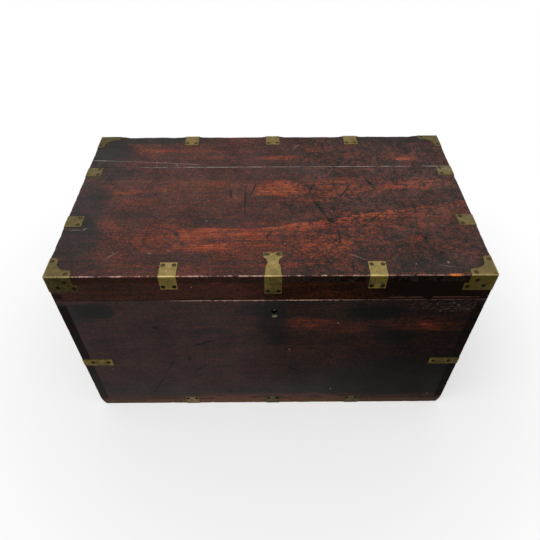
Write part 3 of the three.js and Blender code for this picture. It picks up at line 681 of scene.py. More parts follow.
def band_on_lid(f, x, y):
    """The bright band across the lid: crisp along its rear edge, and fading forwards and to the right."""
    edge = f.highest(x - BAND_BEND, 0) * BAND_SLOPE + BAND_EDGE
    below = edge - y
    run = f.rise(x, -200, -130) * (f.rise(x, 480, 120) * 0.7 + 0.3)
    bright = f.rise(below, -3, 2) * f.rise(below, 40, 6) * run
    zone = f.rise(below, -2, 6) * f.rise(below, 115, 60) * f.rise(x, -230, -150)
    line = f.rise(below, -1.5, 0.5) * f.rise(below, 12, 4) * f.rise(x, -40, 60) * f.rise(x, 480, 220)
    return (bright * 0.3 + zone * 0.14) * (f.streak * 1.1 + 0.35) + line * 0.2


def knot_on_lid(f, place):
    """A knot with wobbling rings."""
    reach = f.length(f.mapped((*KNOT, TOP), (66, 58, 300), place=place))
    wobble = reach + (f.cloud - 0.5) * 0.5 + (f.mottle - 0.5) * 0.12
    inner, outer = f.rise(abs(wobble - 0.56), 0.075, 0.02), f.rise(abs(wobble - 0.96), 0.07, 0.02)
    return f.rise(reach, 1.15, 0.8) * 0.15 - inner * 0.24 - outer * 0.14


def crack_line(x):
    """Where the rear board's crack runs, for a number or a wire."""
    share = (x - CRACK_MIDDLE) / CRACK_HALF
    return CRACK_LEVEL - share * CRACK_FALL + (1 - share * share) * CRACK_SAG


def lid_wood():
    """The lid's top boards: bright figure under dark crackled polish, and paler worn sides whose front
    darkens to the right, partly with painted shade.
    """
    f = Wood("lid_wood", "x", 0.36, 1.0, 0.48, 0.0)
    soft = f.wandering((70, 26, 60), (46, 18, 0))
    place = f.wandering((26, 5, 30), (44, 7, 0), soft)
    x, y = f.parts(place)[:2]
    f.figured(LID_FIGURE, place, False)
    f.tone = f.tone + band_on_lid(f, x, y) + knot_on_lid(f, soft)
    f.marks = f.scratched(LID_SCRATCHES, False)
    f.fine_scratches([62, -48, 15, 84, -20], 0.45, f.rise(f.x, -200, 60) * 0.7 + 0.3)
    f.crazed((13, 9, 13), 0.82, f.rise(f.x, -60, 160) * 0.75 + 0.25)
    f.crazed((5.5, 4.5, 5.5), 0.42, f.rise(f.x, -200, 100) * 0.5 + 0.5)
    edge = f.rise(TOP - f.z, 1.5, 3.5)
    before = f.rise(f.y, FRONT + 12, FRONT + 2)
    far = f.rise(f.x, 40, 200) * before
    spread = ((f.fine - 0.5) * 0.5 + (f.mottle - 0.5) * 0.6) * (1 - far * 0.8)
    # The sides' own tone: on the front it darkens towards the right, partly the wood's own darkening and
    # partly painted shade
    edge_tone = 0.24 - before * 0.04 - f.rise(f.x, -200, 60) * before * 0.07 - far * 0.16 + spread
    f.tone = f.tone * (1 - edge) + edge_tone * edge
    edge_coat = 0.2 - before * 0.13 - f.rise(f.x, -100, 200) * before * 0.07
    f.coat = (1 - edge) * (0.62 - f.rise(f.y, 60, 260) * 0.16) + edge * edge_coat
    f.coloured()
    front, back = abs(f.y - FRONT), abs(BACK - f.y)
    end, under = to_end(f), abs(TOP - f.z)
    # The front arris: polish rubbed off with a painted highlight along it, dark chips, and a fresh one near
    # the right corner
    where = 1 - f.rise(f.x, 120, 220) * 0.55
    arris = edge_distance(f, (front, under))
    worn_edges(f, arris, 1.9, WORN_PINK_AND_HIGHLIGHT, where, 0.04)
    chips = f.rise(f.noise((10, 10, 10), 3, 0.6, (70, 0, 0)), 0.6, 0.64)
    f.paint(chips * f.rise(arris, 5, 3) * 0.85, CHIP)
    fresh = f.spot(f.place, (372, FRONT, TOP), (22, 5, 5)) * f.rise(f.mottle, 0.4, 0.5)
    f.paint(f.clamp(fresh), srgb(206, 120, 54))
    f.paint(f.clamp(f.scratched(LID_SCUFFS, False) * 0.4), DUST)
    others = edge_distance(f, (back, under), (end, under))
    worn_edges(f, others, 1.0, WORN_RED)
    # Dust in the joint and the crack, and pale specks
    dust_break = f.noise((40, 40, 40), 3, 0.7)
    joint = f.rise(abs(f.y - TOP_JOINT), 1.9, 0.6) * f.rise(f.x, -360, -300)
    joint = joint * f.rise(dust_break, 0.36, 0.5)
    crack = f.rise(abs(f.y - crack_line(f.x)), 1.5, 0.5) * f.rise(f.x, -172, -186)
    above = f.rise(TOP - f.z, 3, 1)
    dusty = f.highest(joint, crack) * above * (0.5 + f.rise(dust_break, 0.5, 0.62) * 0.4)
    f.paint(f.clamp(dusty), DUST)
    specks = f.cells((46, 46, 46), (9, 4, 0))
    f.paint(f.rise(specks, 0.035, 0.02) * 0.7, DUST)
    inner = f.lowest(TOP - f.z, depth_inside(f) + (WALL - 6))
    bare_inside(f, inner, TOP_JOINT)
    return f.finished()


def end_grain(f):
    """End grain at the upright edges of the front, near black but lighter towards the floor."""
    return f.mix(f.rise(f.z, 340, 20) * (0.9 - f.rise(f.x, -100, 100) * 0.65), END_GRAIN, FOOT_GRAIN)


def front_wood():
    """The front of base and lid: dark polish, hazed and scratched, darker to the right partly with painted
    shade, with painted shade in the gap under the lid, and with pins' end grain at its ends.
    """
    f = Wood("front_wood", "x", 0.165, 0.5, 0.4, 0.0)
    place = f.wandering((80, 60, 30), (50, 0, 16))
    place = f.wandering((26, 30, 6), (40, 0, 7), place)
    f.figured(FRONT_FIGURE, place, True)
    f.marks = f.scratched(FRONT_SCRATCHES, True)
    f.scratch = DEEP_SCRATCH
    lid = f.rise(f.z, BASE_TOP - 1, BASE_TOP + 1)
    right = f.rise(f.x, -100, 50)
    far = f.rise(f.x, 100, 380)
    low = f.rise(f.z, 160, 20)
    # Darker to the right and further right, on the lid as well, partly the wood's own darkening and partly
    # painted shade; slightly darker towards the bottom
    f.tone = f.tone - right * 0.05 - far * 0.075 - lid * far * 0.05 + (f.grit - 0.5) * 0.45 - low * 0.04
    strip = f.rise(to_end(f), 23, 19) * f.rise(f.z, BASE_TOP, BASE_TOP - 24)
    strip = strip * f.rise(f.z, 18, 30)
    veil = 0.25 - right * 0.14 - far * 0.09 + right * f.rise(f.z, 260, 60) * 0.11
    veil = ((1 - lid) * veil + lid * (0.15 - right * 0.13)) * (1 - strip * 0.7)
    f.coat = veil + f.rise(f.y, FRONT + 0.6, FRONT + 2) * 0.14
    f.coloured()
    front, end = abs(f.y - FRONT), to_end(f)
    rim = f.highest(front, abs(BASE_TOP - f.z))
    middle_part = f.rise(f.x, -260, -120) * (1 - f.rise(f.x, 60, 230) * 0.85)
    below = f.rise(BASE_TOP - f.z, -0.3, 0.1)
    haze = f.mix(right, srgb(66, 84, 96), srgb(4, 58, 66))
    f.paint((1 - lid) * 0.05, haze)
    f.paint(low * f.rise(f.x, 350, 100) * 0.1, srgb(71, 77, 77))
    # Rubbed polish along the base's top front edge, partly a painted highlight
    worn_edges(f, rim, 1.8, WORN_PINK_AND_HIGHLIGHT, middle_part * below * 0.75, 0.12)
    # Painted shade for the gap under the lid, the end grain, and pale wear on the lid's lower arris
    gap = f.rise(f.z, BASE_TOP, BASE_TOP + 0.5) * f.rise(f.z, BASE_TOP + 3.5, BASE_TOP + 1.5)
    f.paint(f.rise(front, 3, 1) * gap * 0.8, srgb(12, 8, 7))
    f.paint(strip * 0.9, end_grain(f))
    broken = f.rise(f.noise((30, 30, 30), 3, 0.7), 0.36, 0.5)
    lower = f.rise(abs(f.z - BASE_TOP - 7), 1.2, 0.4) * f.rise(f.x, 236, 262) * broken
    f.paint(lower * 0.45, WORN_RED)
    worn_edges(f, f.highest(front, end), 0.8, WORN_RED, 0.6)
    # The ghost of a lost bracket, and darker wood below the lock
    round_end = f.length(f.mapped((-362, FRONT, 394), (24, 300, 24)))
    ghost = f.lowest(f.rise(abs(f.x + 391), 31, 28), f.rise(abs(f.z - 394), 26, 22))
    ghost = f.highest(ghost, f.rise(round_end, 1.04, 0.92))
    f.paint(ghost * 0.85, srgb(15, 15, 13))
    plate_ghost = f.lowest(f.rise(abs(f.x - 8), 25, 21), f.rise(f.z, 335, 341))
    f.paint(plate_ghost * 0.5 * f.rise(f.z, BASE_TOP + 1, BASE_TOP), srgb(20, 18, 16))
    # Pale wear below the keyhole, flaked polish at the right, pale flecks, and the brown foot
    pale = f.spot(f.place, (KEYHOLE_X, FRONT, 376), (7, 30, 6))
    f.paint(pale * 0.8, srgb(128, 128, 104))
    chips = f.noise((11, 11, 1.6), 3, 0.7)
    patch = f.spot(place, (390, FRONT, 408), (110, 40, 26))
    f.paint(f.rise(chips, 0.56, 0.66) * patch * 0.6, srgb(112, 96, 82))
    flecks = f.cells((52, 200, 40))
    f.paint(f.rise(flecks, 0.05, 0.03) * 0.7, srgb(150, 120, 96))
    rubbed = f.rise(f.z, 58, 26) * f.rise(f.noise((60, 60, 12), 4, 0.7), 0.36, 0.54)
    brown = f.mix(f.rise(abs(f.x + 20), 270, 130), srgb(62, 40, 28), srgb(100, 60, 44))
    f.paint(f.clamp(rubbed * 0.75), brown)
    bare_inside(f, depth_inside(f))
    return f.finished()


def side_wood(name, along, tone):
    """The back and the ends. End grain shows where the end boards reach the front and the back."""
    f = Wood(name, along, tone, 0.5, 0.22, 0.0)
    f.marks = f.rise(f.noise((60, 60, 2), 1, 0.5, turn=(0, 24, 0)), 0.66, 0.74) * 0.6
    ends, sides = to_end(f), to_side(f)
    f.coat = 0.2 - f.rise(sides, 1.8, 0.6) * (0.14 + f.rise(f.x, 0, 300) * 0.06)
    f.coloured()
    if along == "y":
        grain = f.rise(f.noise((2.4, 9, 2.4), 3, 0.7), 0.4, 0.6) * 0.25
        f.paint(f.rise(sides, 1.8, 0.6) * (0.95 - grain), end_grain(f))
    else:
        f.paint(f.rise(ends, 1.8, 0.6) * 0.8, END_GRAIN)
    worn_edges(f, f.highest(ends, sides), 0.8, WORN_RED, 0.6)
    rim = f.highest(f.lowest(ends, sides), abs(BASE_TOP - f.z))
    worn_edges(f, rim, 1.5, WORN_RED)
    bare_inside(f, depth_inside(f))
    return f.finished()


def bottom_wood():
    """The bottom boards: bare inside, with a brown outer edge."""
    f = Wood("bottom_wood", "x", 0.42, 0.8, 0.05, 0.05)
    bare = f.ramp(f.clamp(f.tone), BARE_STOPS)
    bare = f.mix(board_joint(f, BOTTOM_JOINT), bare, CHIP)
    edge = f.tone - 0.1 - f.rise(f.x, -100, 360) * 0.2 - f.rise(f.x, -300, -380) * 0.12
    edge = f.ramp(f.clamp(edge), [
        (0.0, srgb(44, 30, 20)), (0.5, srgb(104, 68, 42)), (1.0, srgb(150, 104, 66))])
    edge = f.mix(f.rise(f.x, 100, 380) * 0.35, edge, srgb(24, 16, 10))
    f.colour = f.mix(f.rise(depth_inside(f), 2, 8), edge, bare)
    return f.finished()


def aged_brass(name, tone, rough):
    """Old brass: olive tarnish in clouds, stains, fine scratches, and bright rubbed bends that also carry a
    painted highlight, with painted shade on upright faces, towards the right, at the corners, at the back
    and on the base's fittings.
    """
    f = Finish(name, Specular_IOR_Level=0.0)
    cloud = f.noise((18, 18, 18), 4, 0.65)
    grit = f.noise((2.6, 2.6, 2.6), 3, 0.75)
    stain = f.noise((7, 7, 7), 3, 0.7, centre=(90, 20, 7))
    hair = f.noise((14, 0.7, 0.7), 2, 0.6, turn=(0, 0, 38))
    side, end, top = to_side(f), to_end(f), abs(TOP - f.z)
    bends = edge_distance(f, (side, top), (end, top), (side, end))
    # Bends rubbed bright, which also stand for a painted highlight
    rubbed = f.rise(bends, 1.8, 0.6)
    upright = f.rise(TOP - f.z, 1, 4)
    before = f.rise(f.y, FRONT + 26, FRONT + 4)
    corner = f.rise(abs(f.x), 380, 400)
    right = f.rise(f.x, -300, 300) * before
    on_hasp = f.rise(abs(f.x - HASP_X), 30, 20) * before
    on_base = f.rise(LID_UNDER - f.z, 0, 20)
    foot = f.rise(FOOT_TOP - f.z, 0, 4)
    level = tone + (cloud - 0.5) * 0.45 + (grit - 0.5) * 0.4 + rubbed * 0.27
    # Painted shade: upright faces darker than the top, more so at the front, its corners and towards the
    # right; the base's fittings darker still, and more to the right
    level = level - upright * (0.2 + before * 0.04 + corner * before * 0.09 + right * 0.1) * (1 - on_base)
    level = level - on_base * (0.28 + before * 0.04 + right * 0.26) - foot * 0.1
    # Painted shade at the corners, more at the left, and at the back
    level = level - corner * (0.12 + f.rise(f.x, 0, -10) * 0.08) - f.rise(f.y, 180, 200) * 0.12
    level = level - on_hasp * ((1 - upright) * 0.05 + upright * 0.1) - f.rise(stain, 0.58, 0.7) * 0.35
    f.colour = f.ramp(f.clamp(level), [
        (0.0, srgb(34, 29, 15)), (0.25, srgb(76, 66, 34)), (0.5, srgb(122, 106, 62)),
        (0.75, srgb(164, 144, 92)), (1.0, srgb(208, 190, 130))])
    f.paint(corner * (1 - upright) * 0.3, srgb(84, 80, 66))
    # Olive on upright faces, strongest to the right and at the front corners: partly tarnish, partly painted
    # shade
    greener = upright * (right * 0.5 + before * (0.25 + corner * 0.25) + 0.1) * (1 - foot)
    f.paint(greener, (1, 0.97, 0.5, 1), "MULTIPLY")
    f.paint(foot * 0.12, srgb(96, 98, 92))
    olive = upright * right * corner * (1 - on_base)
    f.paint(olive * 0.45, srgb(76, 64, 10))
    # Dark marks round the waisted strap's screws
    for ear in (-15, 19):
        dark = f.spot(f.place, (ear, FRONT + 61.5, TOP), (12, 8, 8), soft=0.5) * f.rise(grit, 0.66, 0.5)
        f.paint(dark * 0.8, srgb(46, 48, 46))
    f.set("Base Color", f.colour)
    f.set("Metallic", f.clamp(0.6 + level * 0.35))
    f.set("Roughness", f.clamp(rough + (0.5 - cloud) * 0.4 - rubbed * 0.12 + f.rise(hair, 0.6, 0.7) * 0.08))
    f.bump(cloud * 0.4 + grit * 0.25 - f.rise(hair, 0.62, 0.7) * 0.3, 0.12)
    return f.material


def dark_metal(name, low, high, rough, metallic, shade=0.0):
    """Metal gone dark, with painted shade that darkens it by a share on upright faces."""
    f = Finish(name, Specular_IOR_Level=0.0)
    cloud = f.noise((3.5, 3.5, 3.5), 4, 0.65)
    f.colour = f.ramp(cloud, [(0.3, low), (0.7, high)])
    # Painted shade on upright faces
    f.paint(f.rise(TOP - f.z, 1, 3) * shade, srgb(6, 5, 4))
    f.set("Base Color", f.colour)
    f.set("Metallic", f.clamp(metallic + (cloud - 0.5) * 0.4))
    f.set("Roughness", f.clamp(rough + (cloud - 0.5) * 0.5))
    f.bump(cloud, 0.1)
    return f.material


LID_WOOD = lid_wood()
FRONT_WOOD = front_wood()
BACK_WOOD = side_wood("back_wood", "x", 0.24)
END_WOOD = side_wood("end_wood", "y", 0.24)
BOTTOM_WOOD = bottom_wood()
BRASS = aged_brass("lid_brass", 0.62, 0.5)
BASE_BRASS = aged_brass("base_brass", 0.86, 0.55)
# Grime in the screw sinks, and the screws' metal: both painted darker on upright faces as shade
GRIME_AND_SHADE = dark_metal("sink_grime_and_shade", srgb(34, 27, 19), srgb(70, 56, 38), 0.7, 0.2, 0.92)
SCREW_METAL = dark_metal("screw_metal", srgb(58, 46, 36), srgb(104, 88, 62), 0.55, 0.4, 0.9)
STEEL = dark_metal("lock_steel", srgb(64, 62, 60), srgb(134, 128, 118), 0.45, 0.75)


def in_scene(name, data):
    """Puts a mesh, a lamp or a camera in the scene."""
    thing = bpy.data.objects.new(name, data)
    bpy.context.scene.collection.objects.link(thing)
    return thing


def merge(bm):
    bmesh.ops.remove_doubles(bm, verts=bm.verts, dist=SAME_POINT)


def only(kind, geometry):
    """The vertices or the faces of some geometry."""
    return [part for part in geometry if isinstance(part, kind)]


def object_of(bm, name, *materials):
    """Turns a bmesh in millimetres into a scene object with its doubles merged."""
    merge(bm)
    mesh = bpy.data.meshes.new(name)
    bm.to_mesh(mesh)
    bm.free()
    for material in materials:
        mesh.materials.append(material)
    return in_scene(name, mesh)


def applied(piece):
    """Bakes a piece's modifiers into its mesh."""
    shaped = bpy.data.meshes.new_from_object(piece.evaluated_get(bpy.context.evaluated_depsgraph_get()))
    old = piece.data
    piece.modifiers.clear()
    piece.data = shaped
    bpy.data.meshes.remove(old)
    return piece


def combine(piece, tool, operation):
    """Joins or cuts a piece with a tool, which is used up."""
    modifier = piece.modifiers.new("combine", "BOOLEAN")
    modifier.operation = operation
    modifier.solver = "EXACT"
    modifier.object = tool
    applied(piece)
    bpy.data.objects.remove(tool)
    return piece


def edited(piece, change):
    """Runs a change on a piece's mesh as a bmesh."""
    bm = bmesh.new()
    bm.from_mesh(piece.data)
    change(bm)
    bm.to_mesh(piece.data)
    bm.free()
    return piece


def body_of(node):
    return frame["nodes"][node]["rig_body"]


def fitted(piece, node, slot, replaces=True):
    """Scales a piece to metres and hands it to a CAD node's body, mostly in place of the node."""
    piece.data.transform(Matrix.Scale(MM, 4))
    piece.data.shade_smooth()
    piece.data.set_sharp_from_angle(angle=math.radians(SMOOTH_ANGLE))
    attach(piece, body_of(node))
    if replaces:
        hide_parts(node)


# Directions on a corner of the chest: u and v along a face, and the way out of it
SIDES = {
    "top": ((1, 0, 0), (0, 1, 0), (0, 0, 1)),
    "long": ((1, 0, 0), (0, 0, -1), (0, -1, 0)),
    "end": ((0, 1, 0), (0, 0, -1), (-1, 0, 0)),
}


def axes(u, v, out, at=(0, 0, 0)):
    """The matrix that takes a plane's own directions to these, from a place."""
    return Matrix.Translation(at) @ Matrix((u, v, out)).transposed().to_4x4()


def on_side(side, u=0, v=0, proud=BRASS_PROUD):
    """A place on a corner's face, lifted off it by proud."""
    return axes(*SIDES[side]) @ Matrix.Translation((u, v, proud))


def plate(points, rounds, place, thick=BRASS_THICK):
    """A flat plate from an outline; rounds gives the radius at some of its corners."""
    bm = bmesh.new()
    corners = [bm.verts.new((u, v, 0)) for u, v in points]
    bm.faces.new(corners)
    for index, radius in rounds.items():
        bmesh.ops.bevel(bm, geom=[corners[index]], offset=radius, offset_type="OFFSET", affect="VERTICES",
                        segments=CORNER_SEGMENTS, profile=0.5, material=-1)
    drawn = bmesh.ops.extrude_face_region(bm, geom=list(bm.faces))["geom"]
    bmesh.ops.translate(bm, vec=(0, 0, -thick), verts=only(bmesh.types.BMVert, drawn))
    return solid(bm, place)


def solid(bm, place=None):
    """Ends a shape: moves it to its place with its faces turned out."""
    if place is not None:
        bmesh.ops.transform(bm, matrix=place, verts=bm.verts)
    bmesh.ops.recalc_face_normals(bm, faces=bm.faces)
    return object_of(bm, "shape")


def block(low, high):
    bm = bmesh.new()
    bmesh.ops.create_cube(bm, size=1)
    bmesh.ops.scale(bm, vec=Vector(high) - Vector(low), verts=bm.verts)
    bmesh.ops.translate(bm, vec=(Vector(high) + Vector(low)) / 2, verts=bm.verts)
    return solid(bm)


def rod(radius, length, place, end_radius=None, sides=BARREL_SIDES):
    """A round bar along its place's z, whose far end may be narrower."""
    bm = bmesh.new()
    bmesh.ops.create_cone(bm, cap_ends=True, segments=sides, radius1=radius,
                          radius2=radius if end_radius is None else end_radius, depth=length)
    return solid(bm, place)


def along(axis, at):
    """A place whose z runs along an axis, for a rod."""
    turns = {"x": Matrix.Rotation(math.pi / 2, 4, "Y"), "y": Matrix.Rotation(-math.pi / 2, 4, "X"),
             "z": Matrix.Identity(4)}
    return Matrix.Translation(at) @ turns[axis]


def rectangle(low_u, high_u, low_v, high_v):
    return [(low_u, low_v), (high_u, low_v), (high_u, high_v), (low_u, high_v)]


def joined(first, *others):
    for other in others:
        combine(first, other, "UNION")
    return first


def flattened(bm, degrees):
    """Merges doubles, and makes flat faces whole that are cut up."""
    merge(bm)
    bmesh.ops.dissolve_limit(bm, angle_limit=math.radians(degrees), verts=bm.verts, edges=bm.edges)


def cleaned(piece):
    return edited(piece, lambda bm: flattened(bm, 1))


def round_bends(piece, lines):
    """Rounds the outer arrises of bent brass, each given as {axis: value}."""
    def on_line(vertex, line):
        return all(abs(vertex.co[axis] - value) < SAME_POINT for axis, value in line.items())

    def change(bm):
        edges = [e for e in bm.edges for line in lines if all(on_line(v, line) for v in e.verts)]
        bmesh.ops.bevel(bm, geom=edges, offset=BEND_ROUND, offset_type="OFFSET", affect="EDGES",
                        segments=BEND_SEGMENTS, profile=0.5, material=-1)
    return edited(piece, change)


def softened(piece, width=BRASS_EDGE):
    """Takes the sharpness off a piece's edges."""
    modifier = piece.modifiers.new("edges", "BEVEL")
    modifier.width = width
    modifier.segments = EDGE_SEGMENTS
    modifier.limit_method = "ANGLE"
    modifier.angle_limit = math.radians(SHARP_ANGLE)
    return applied(piece)


def sunk(piece, places, brass=BRASS):
    """Cuts a screw sink at each place, softens all edges, and gives the sinks their grime, painted darker on
    upright faces as shade.
    """
    depth = SINK_DEPTH + BRASS_EDGE
    # The cutting cone stands a little proud of the brass
    tall = depth * (1 + SINK_OVERCUT)
    for place in places:
        at = place @ Matrix.Translation((0, 0, tall / 2 - depth))
        combine(piece, rod(SINK_FOOT, tall, at, SINK_RADIUS, SINK_SIDES), "DIFFERENCE")
    softened(piece)
    piece.data.materials.clear()
    piece.data.materials.append(brass)
    piece.data.materials.append(GRIME_AND_SHADE)
    back = [place.inverted() for place in places]
    for face in piece.data.polygons:
        for inverse in back:
            local = inverse @ face.center
            if math.hypot(local.x, local.y) < SINK_RADIUS and -SINK_DEPTH < local.z < -SINK_LIP:
                face.material_index = 1
    return piece


def pattern(plates, screws, bends, proud=None):
    """A brass fitting in its corner's frame: plates joined, bends rounded, screw sinks cut."""
    proud = proud or {}
    whole = round_bends(cleaned(joined(*plates)), bends)
    places = [on_side(side, u, v, proud.get(side, BRASS_PROUD)) for side, u, v in screws]
    sunk(whole, places)
    bpy.context.scene.collection.objects.unlink(whole)
    return {"mesh": whole.data, "screws": places}


def screw_pattern():
    """A slotted wood screw's head: a flat rim and a low crown."""
    bm = bmesh.new()
    bmesh.ops.create_cone(bm, cap_ends=True, segments=HEAD_SIDES, depth=SINK_DEPTH,
                          radius1=SINK_FOOT * HEAD_FOOT_SHARE, radius2=HEAD_RADIUS)
    bmesh.ops.translate(bm, vec=(0, 0, -SINK_DEPTH / 2 - HEAD_SET), verts=bm.verts)
    crown = max(bm.faces, key=lambda face: face.calc_center_median().z)
    for rise in HEAD_CROWN_STEPS:
        bmesh.ops.inset_region(bm, faces=[crown], thickness=HEAD_RADIUS * HEAD_CROWN_INSET)
        bmesh.ops.translate(bm, vec=(0, 0, HEAD_CROWN * rise), verts=crown.verts)
    head = solid(bm)
    half = HEAD_RADIUS * 2
    combine(head, block((-half, -SLOT_WIDTH / 2, SLOT_FOOT), (half, SLOT_WIDTH / 2, half)), "DIFFERENCE")
    bpy.context.scene.collection.objects.unlink(head)
    return head.data


SCREW = screw_pattern()
dice = random.Random(11)


def screw_heads(node, places):
    """Screws of one fitting, each turned its own way."""
    bm = bmesh.new()
    for place in places:
        bm.verts.index_update()
        start = len(bm.verts)
        bm.from_mesh(SCREW)
        spun = place @ Matrix.Rotation(dice.uniform(0, math.pi), 4, "Z")
        bmesh.ops.transform(bm, matrix=spun, verts=bm.verts[start:])
    bmesh.ops.recalc_face_normals(bm, faces=bm.faces)
    fitted(object_of(bm, f"screws_{node}", SCREW_METAL), node, "aged_brass", False)


def brass_fitted(piece, node, screws=()):
    """Names a brass piece after its node, fits it there and screws it on."""
    piece.name = f"brass_{node}"
    fitted(piece, node, "aged_brass")
    if screws:
        screw_heads(node, screws)


def placed(fitting, node, place, brass):
    """A copy of a fitting on the chest, and its screws."""
    mesh = fitting["mesh"].copy()
    mesh.materials[0] = brass
    mesh.transform(place)
    if place.determinant() < 0:
        mesh.flip_normals()
    brass_fitted(in_scene("brass", mesh), node, [place @ screw for screw in fitting["screws"]])


def corner_place(x_end, y_end, level):
    """From a corner's own frame to the chest: x and y run inwards along the edges."""
    flips = Matrix.Diagonal((1 if x_end < 0 else -1, 1 if y_end < 0 else -1, 1, 1))
    return Matrix.Translation((x_end, y_end, level)) @ flips


def edge_place(side, place, level, upright=1):
    """From a strap's own frame, whose x runs along the edge, to an edge of the chest."""
    x_axis, y_axis, at = {
        "front": ((1, 0, 0), (0, 1, 0), (place, FRONT, level)),
        "back": ((1, 0, 0), (0, -1, 0), (place, BACK, level)),
        "left": ((0, 1, 0), (1, 0, 0), (LEFT, place, level)),
        "right": ((0, 1, 0), (-1, 0, 0), (RIGHT, place, level)),
    }[side]
    return axes(x_axis, y_axis, (0, 0, upright), at)


def turned_strap(width, reach, drop, corner, flat_proud=BRASS_PROUD):
    """A strap that turns over an edge, with two screws in each leg."""
    half = width / 2
    flat = plate(rectangle(-half, half, -BRASS_PROUD, reach), {2: STRAP_CORNER, 3: STRAP_CORNER},
                 on_side("top", proud=flat_proud))
    flap = plate(rectangle(-half, half, -flat_proud, drop), {2: corner, 3: corner}, on_side("long"))
    screws = [(side, u, v) for u in (-SCREW_SPACING / 2, SCREW_SPACING / 2)
              for side, v in (("top", reach - STRAP_SCREW_INSET), ("long", drop - STRAP_SCREW_INSET))]
    return pattern([flat, flap], screws, [{1: -BRASS_PROUD, 2: flat_proud}], {"top": flat_proud})


def bracket():
    """A lid corner: an L-shaped top with a hollow between round arms, and two stepped flaps."""
    edge = -BRASS_PROUD
    reach, arm = BRACKET_REACH, BRACKET_ARM
    top = plate([(edge, edge), (reach, edge), (reach, arm), (arm, arm), (arm, reach), (edge, reach)],
                {2: BRACKET_END, 3: BRACKET_HOLLOW, 4: BRACKET_END}, on_side("top"))
    outline = [(edge, edge), (reach, edge), (reach, BRACKET_STEP), (BRACKET_TAB, BRACKET_STEP),
               (BRACKET_TAB, BRACKET_DROP), (edge, BRACKET_DROP)]
    flaps = [plate(outline, {3: FLAP_CORNER, 4: FLAP_CORNER}, on_side(side)) for side in ("long", "end")]
    screws = [("top", u, v) for u, v in BRACKET_TOP_SCREWS]
    screws += [(side, u, v) for side in ("long", "end") for u, v in BRACKET_FLAP_SCREWS]
    bends = [{1: edge, 2: BRASS_PROUD}, {0: edge, 2: BRASS_PROUD}, {0: edge, 1: edge}]
    return pattern([top, *flaps], screws, bends)


def hasp_half_width(reach):
    """The waisted strap's half width at a distance from the front edge."""
    for (start, low), (end, high) in zip(HASP_HALF_WIDTHS, HASP_HALF_WIDTHS[1:]):
        if reach <= end:
            share = (1 - math.cos((reach - start) / (end - start) * math.pi)) / 2
            return low + (high - low) * share
    return HASP_HALF_WIDTHS[-1][1]


def hasp():
    """The strap over the lock: ears and a bow-shaped end on the lid, and a plain flap in front."""
    last, ear = HASP_HALF_WIDTHS[-1]
    side = [(hasp_half_width(reach), reach) for reach in range(HASP_STEP, last, HASP_STEP)]
    half = [(HASP_HALF_WIDTHS[0][1], -BRASS_PROUD), *side, (ear, last)]
    for share in HASP_BOW_SHARES:
        half.append((ear * share, HASP_REACH - HASP_BOW * (1 + math.cos(2 * math.pi * share)) / 2))
    outline = half + [(-u, v) for u, v in reversed(half[:-1])]
    top = plate(outline, {}, on_side("top"))
    flap = plate(rectangle(-HASP_FLAP_HALF, HASP_FLAP_HALF, -BRASS_PROUD, HASP_DROP),
                 {2: HASP_FLAP_CORNER, 3: HASP_FLAP_CORNER}, on_side("long"))
    screws = [("top", u, v) for u, v in HASP_TOP_SCREWS] + [("long", u, v) for u, v in HASP_FLAP_SCREWS]
    return pattern([top, flap], screws, [{1: -BRASS_PROUD, 2: BRASS_PROUD}])


def corner_strap():
    outline = rectangle(-BRASS_PROUD, CORNER_STRAP_REACH, -CORNER_STRAP_HALF, CORNER_STRAP_HALF)
    legs = [plate(outline, {1: FLAP_CORNER, 2: FLAP_CORNER}, on_side(side)) for side in ("long", "end")]
    screws = [(side, u, 0) for side in ("long", "end") for u in CORNER_STRAP_SCREWS]
    return pattern(legs, screws, [{0: -BRASS_PROUD, 1: -BRASS_PROUD}])


def brass_straps():
    """All the straps and brackets, on their edges and corners."""
    bracket_made, corner_made, hasp_made = bracket(), corner_strap(), hasp()
    lid_straps = {side: turned_strap(STRAP_WIDTH, reach, STRAP_DROP, STRAP_CORNER)
                  for side, reach in STRAP_REACH.items()}
    foot_made = turned_strap(FOOT_WIDTH, FOOT_REACH, FOOT_RISE, FOOT_CORNER, 0)
    for y_name, y_end in (("front", FRONT), ("back", BACK)):
        for x_name, x_end in (("left", LEFT), ("right", RIGHT)):
            node = f"lid_bracket_{y_name}_{x_name}"
            placed(bracket_made, node, corner_place(x_end, y_end, TOP), BRASS)
            node = f"base_corner_strap_{y_name}_{x_name}"
            placed(corner_made, node, corner_place(x_end, y_end, middle(node).z), BASE_BRASS)
    for side in ("front", "back", "left", "right"):
        axis = "xy"[side in ("left", "right")]
        for node in sorted(n for n in frame["nodes"] if n.startswith(f"lid_{side}_strap")):
            placed(lid_straps[side], node, edge_place(side, getattr(middle(node), axis), TOP), BRASS)
        for node in sorted(n for n in frame["nodes"] if n.startswith(f"foot_{side}_strap")):
            place = edge_place(side, getattr(middle(node), axis), 0, -1)
            placed(foot_made, node, place, BASE_BRASS)
    node = "lid_front_hasp_strap"
    placed(hasp_made, node, edge_place("front", middle(node).x, TOP), BRASS)


brass_straps()


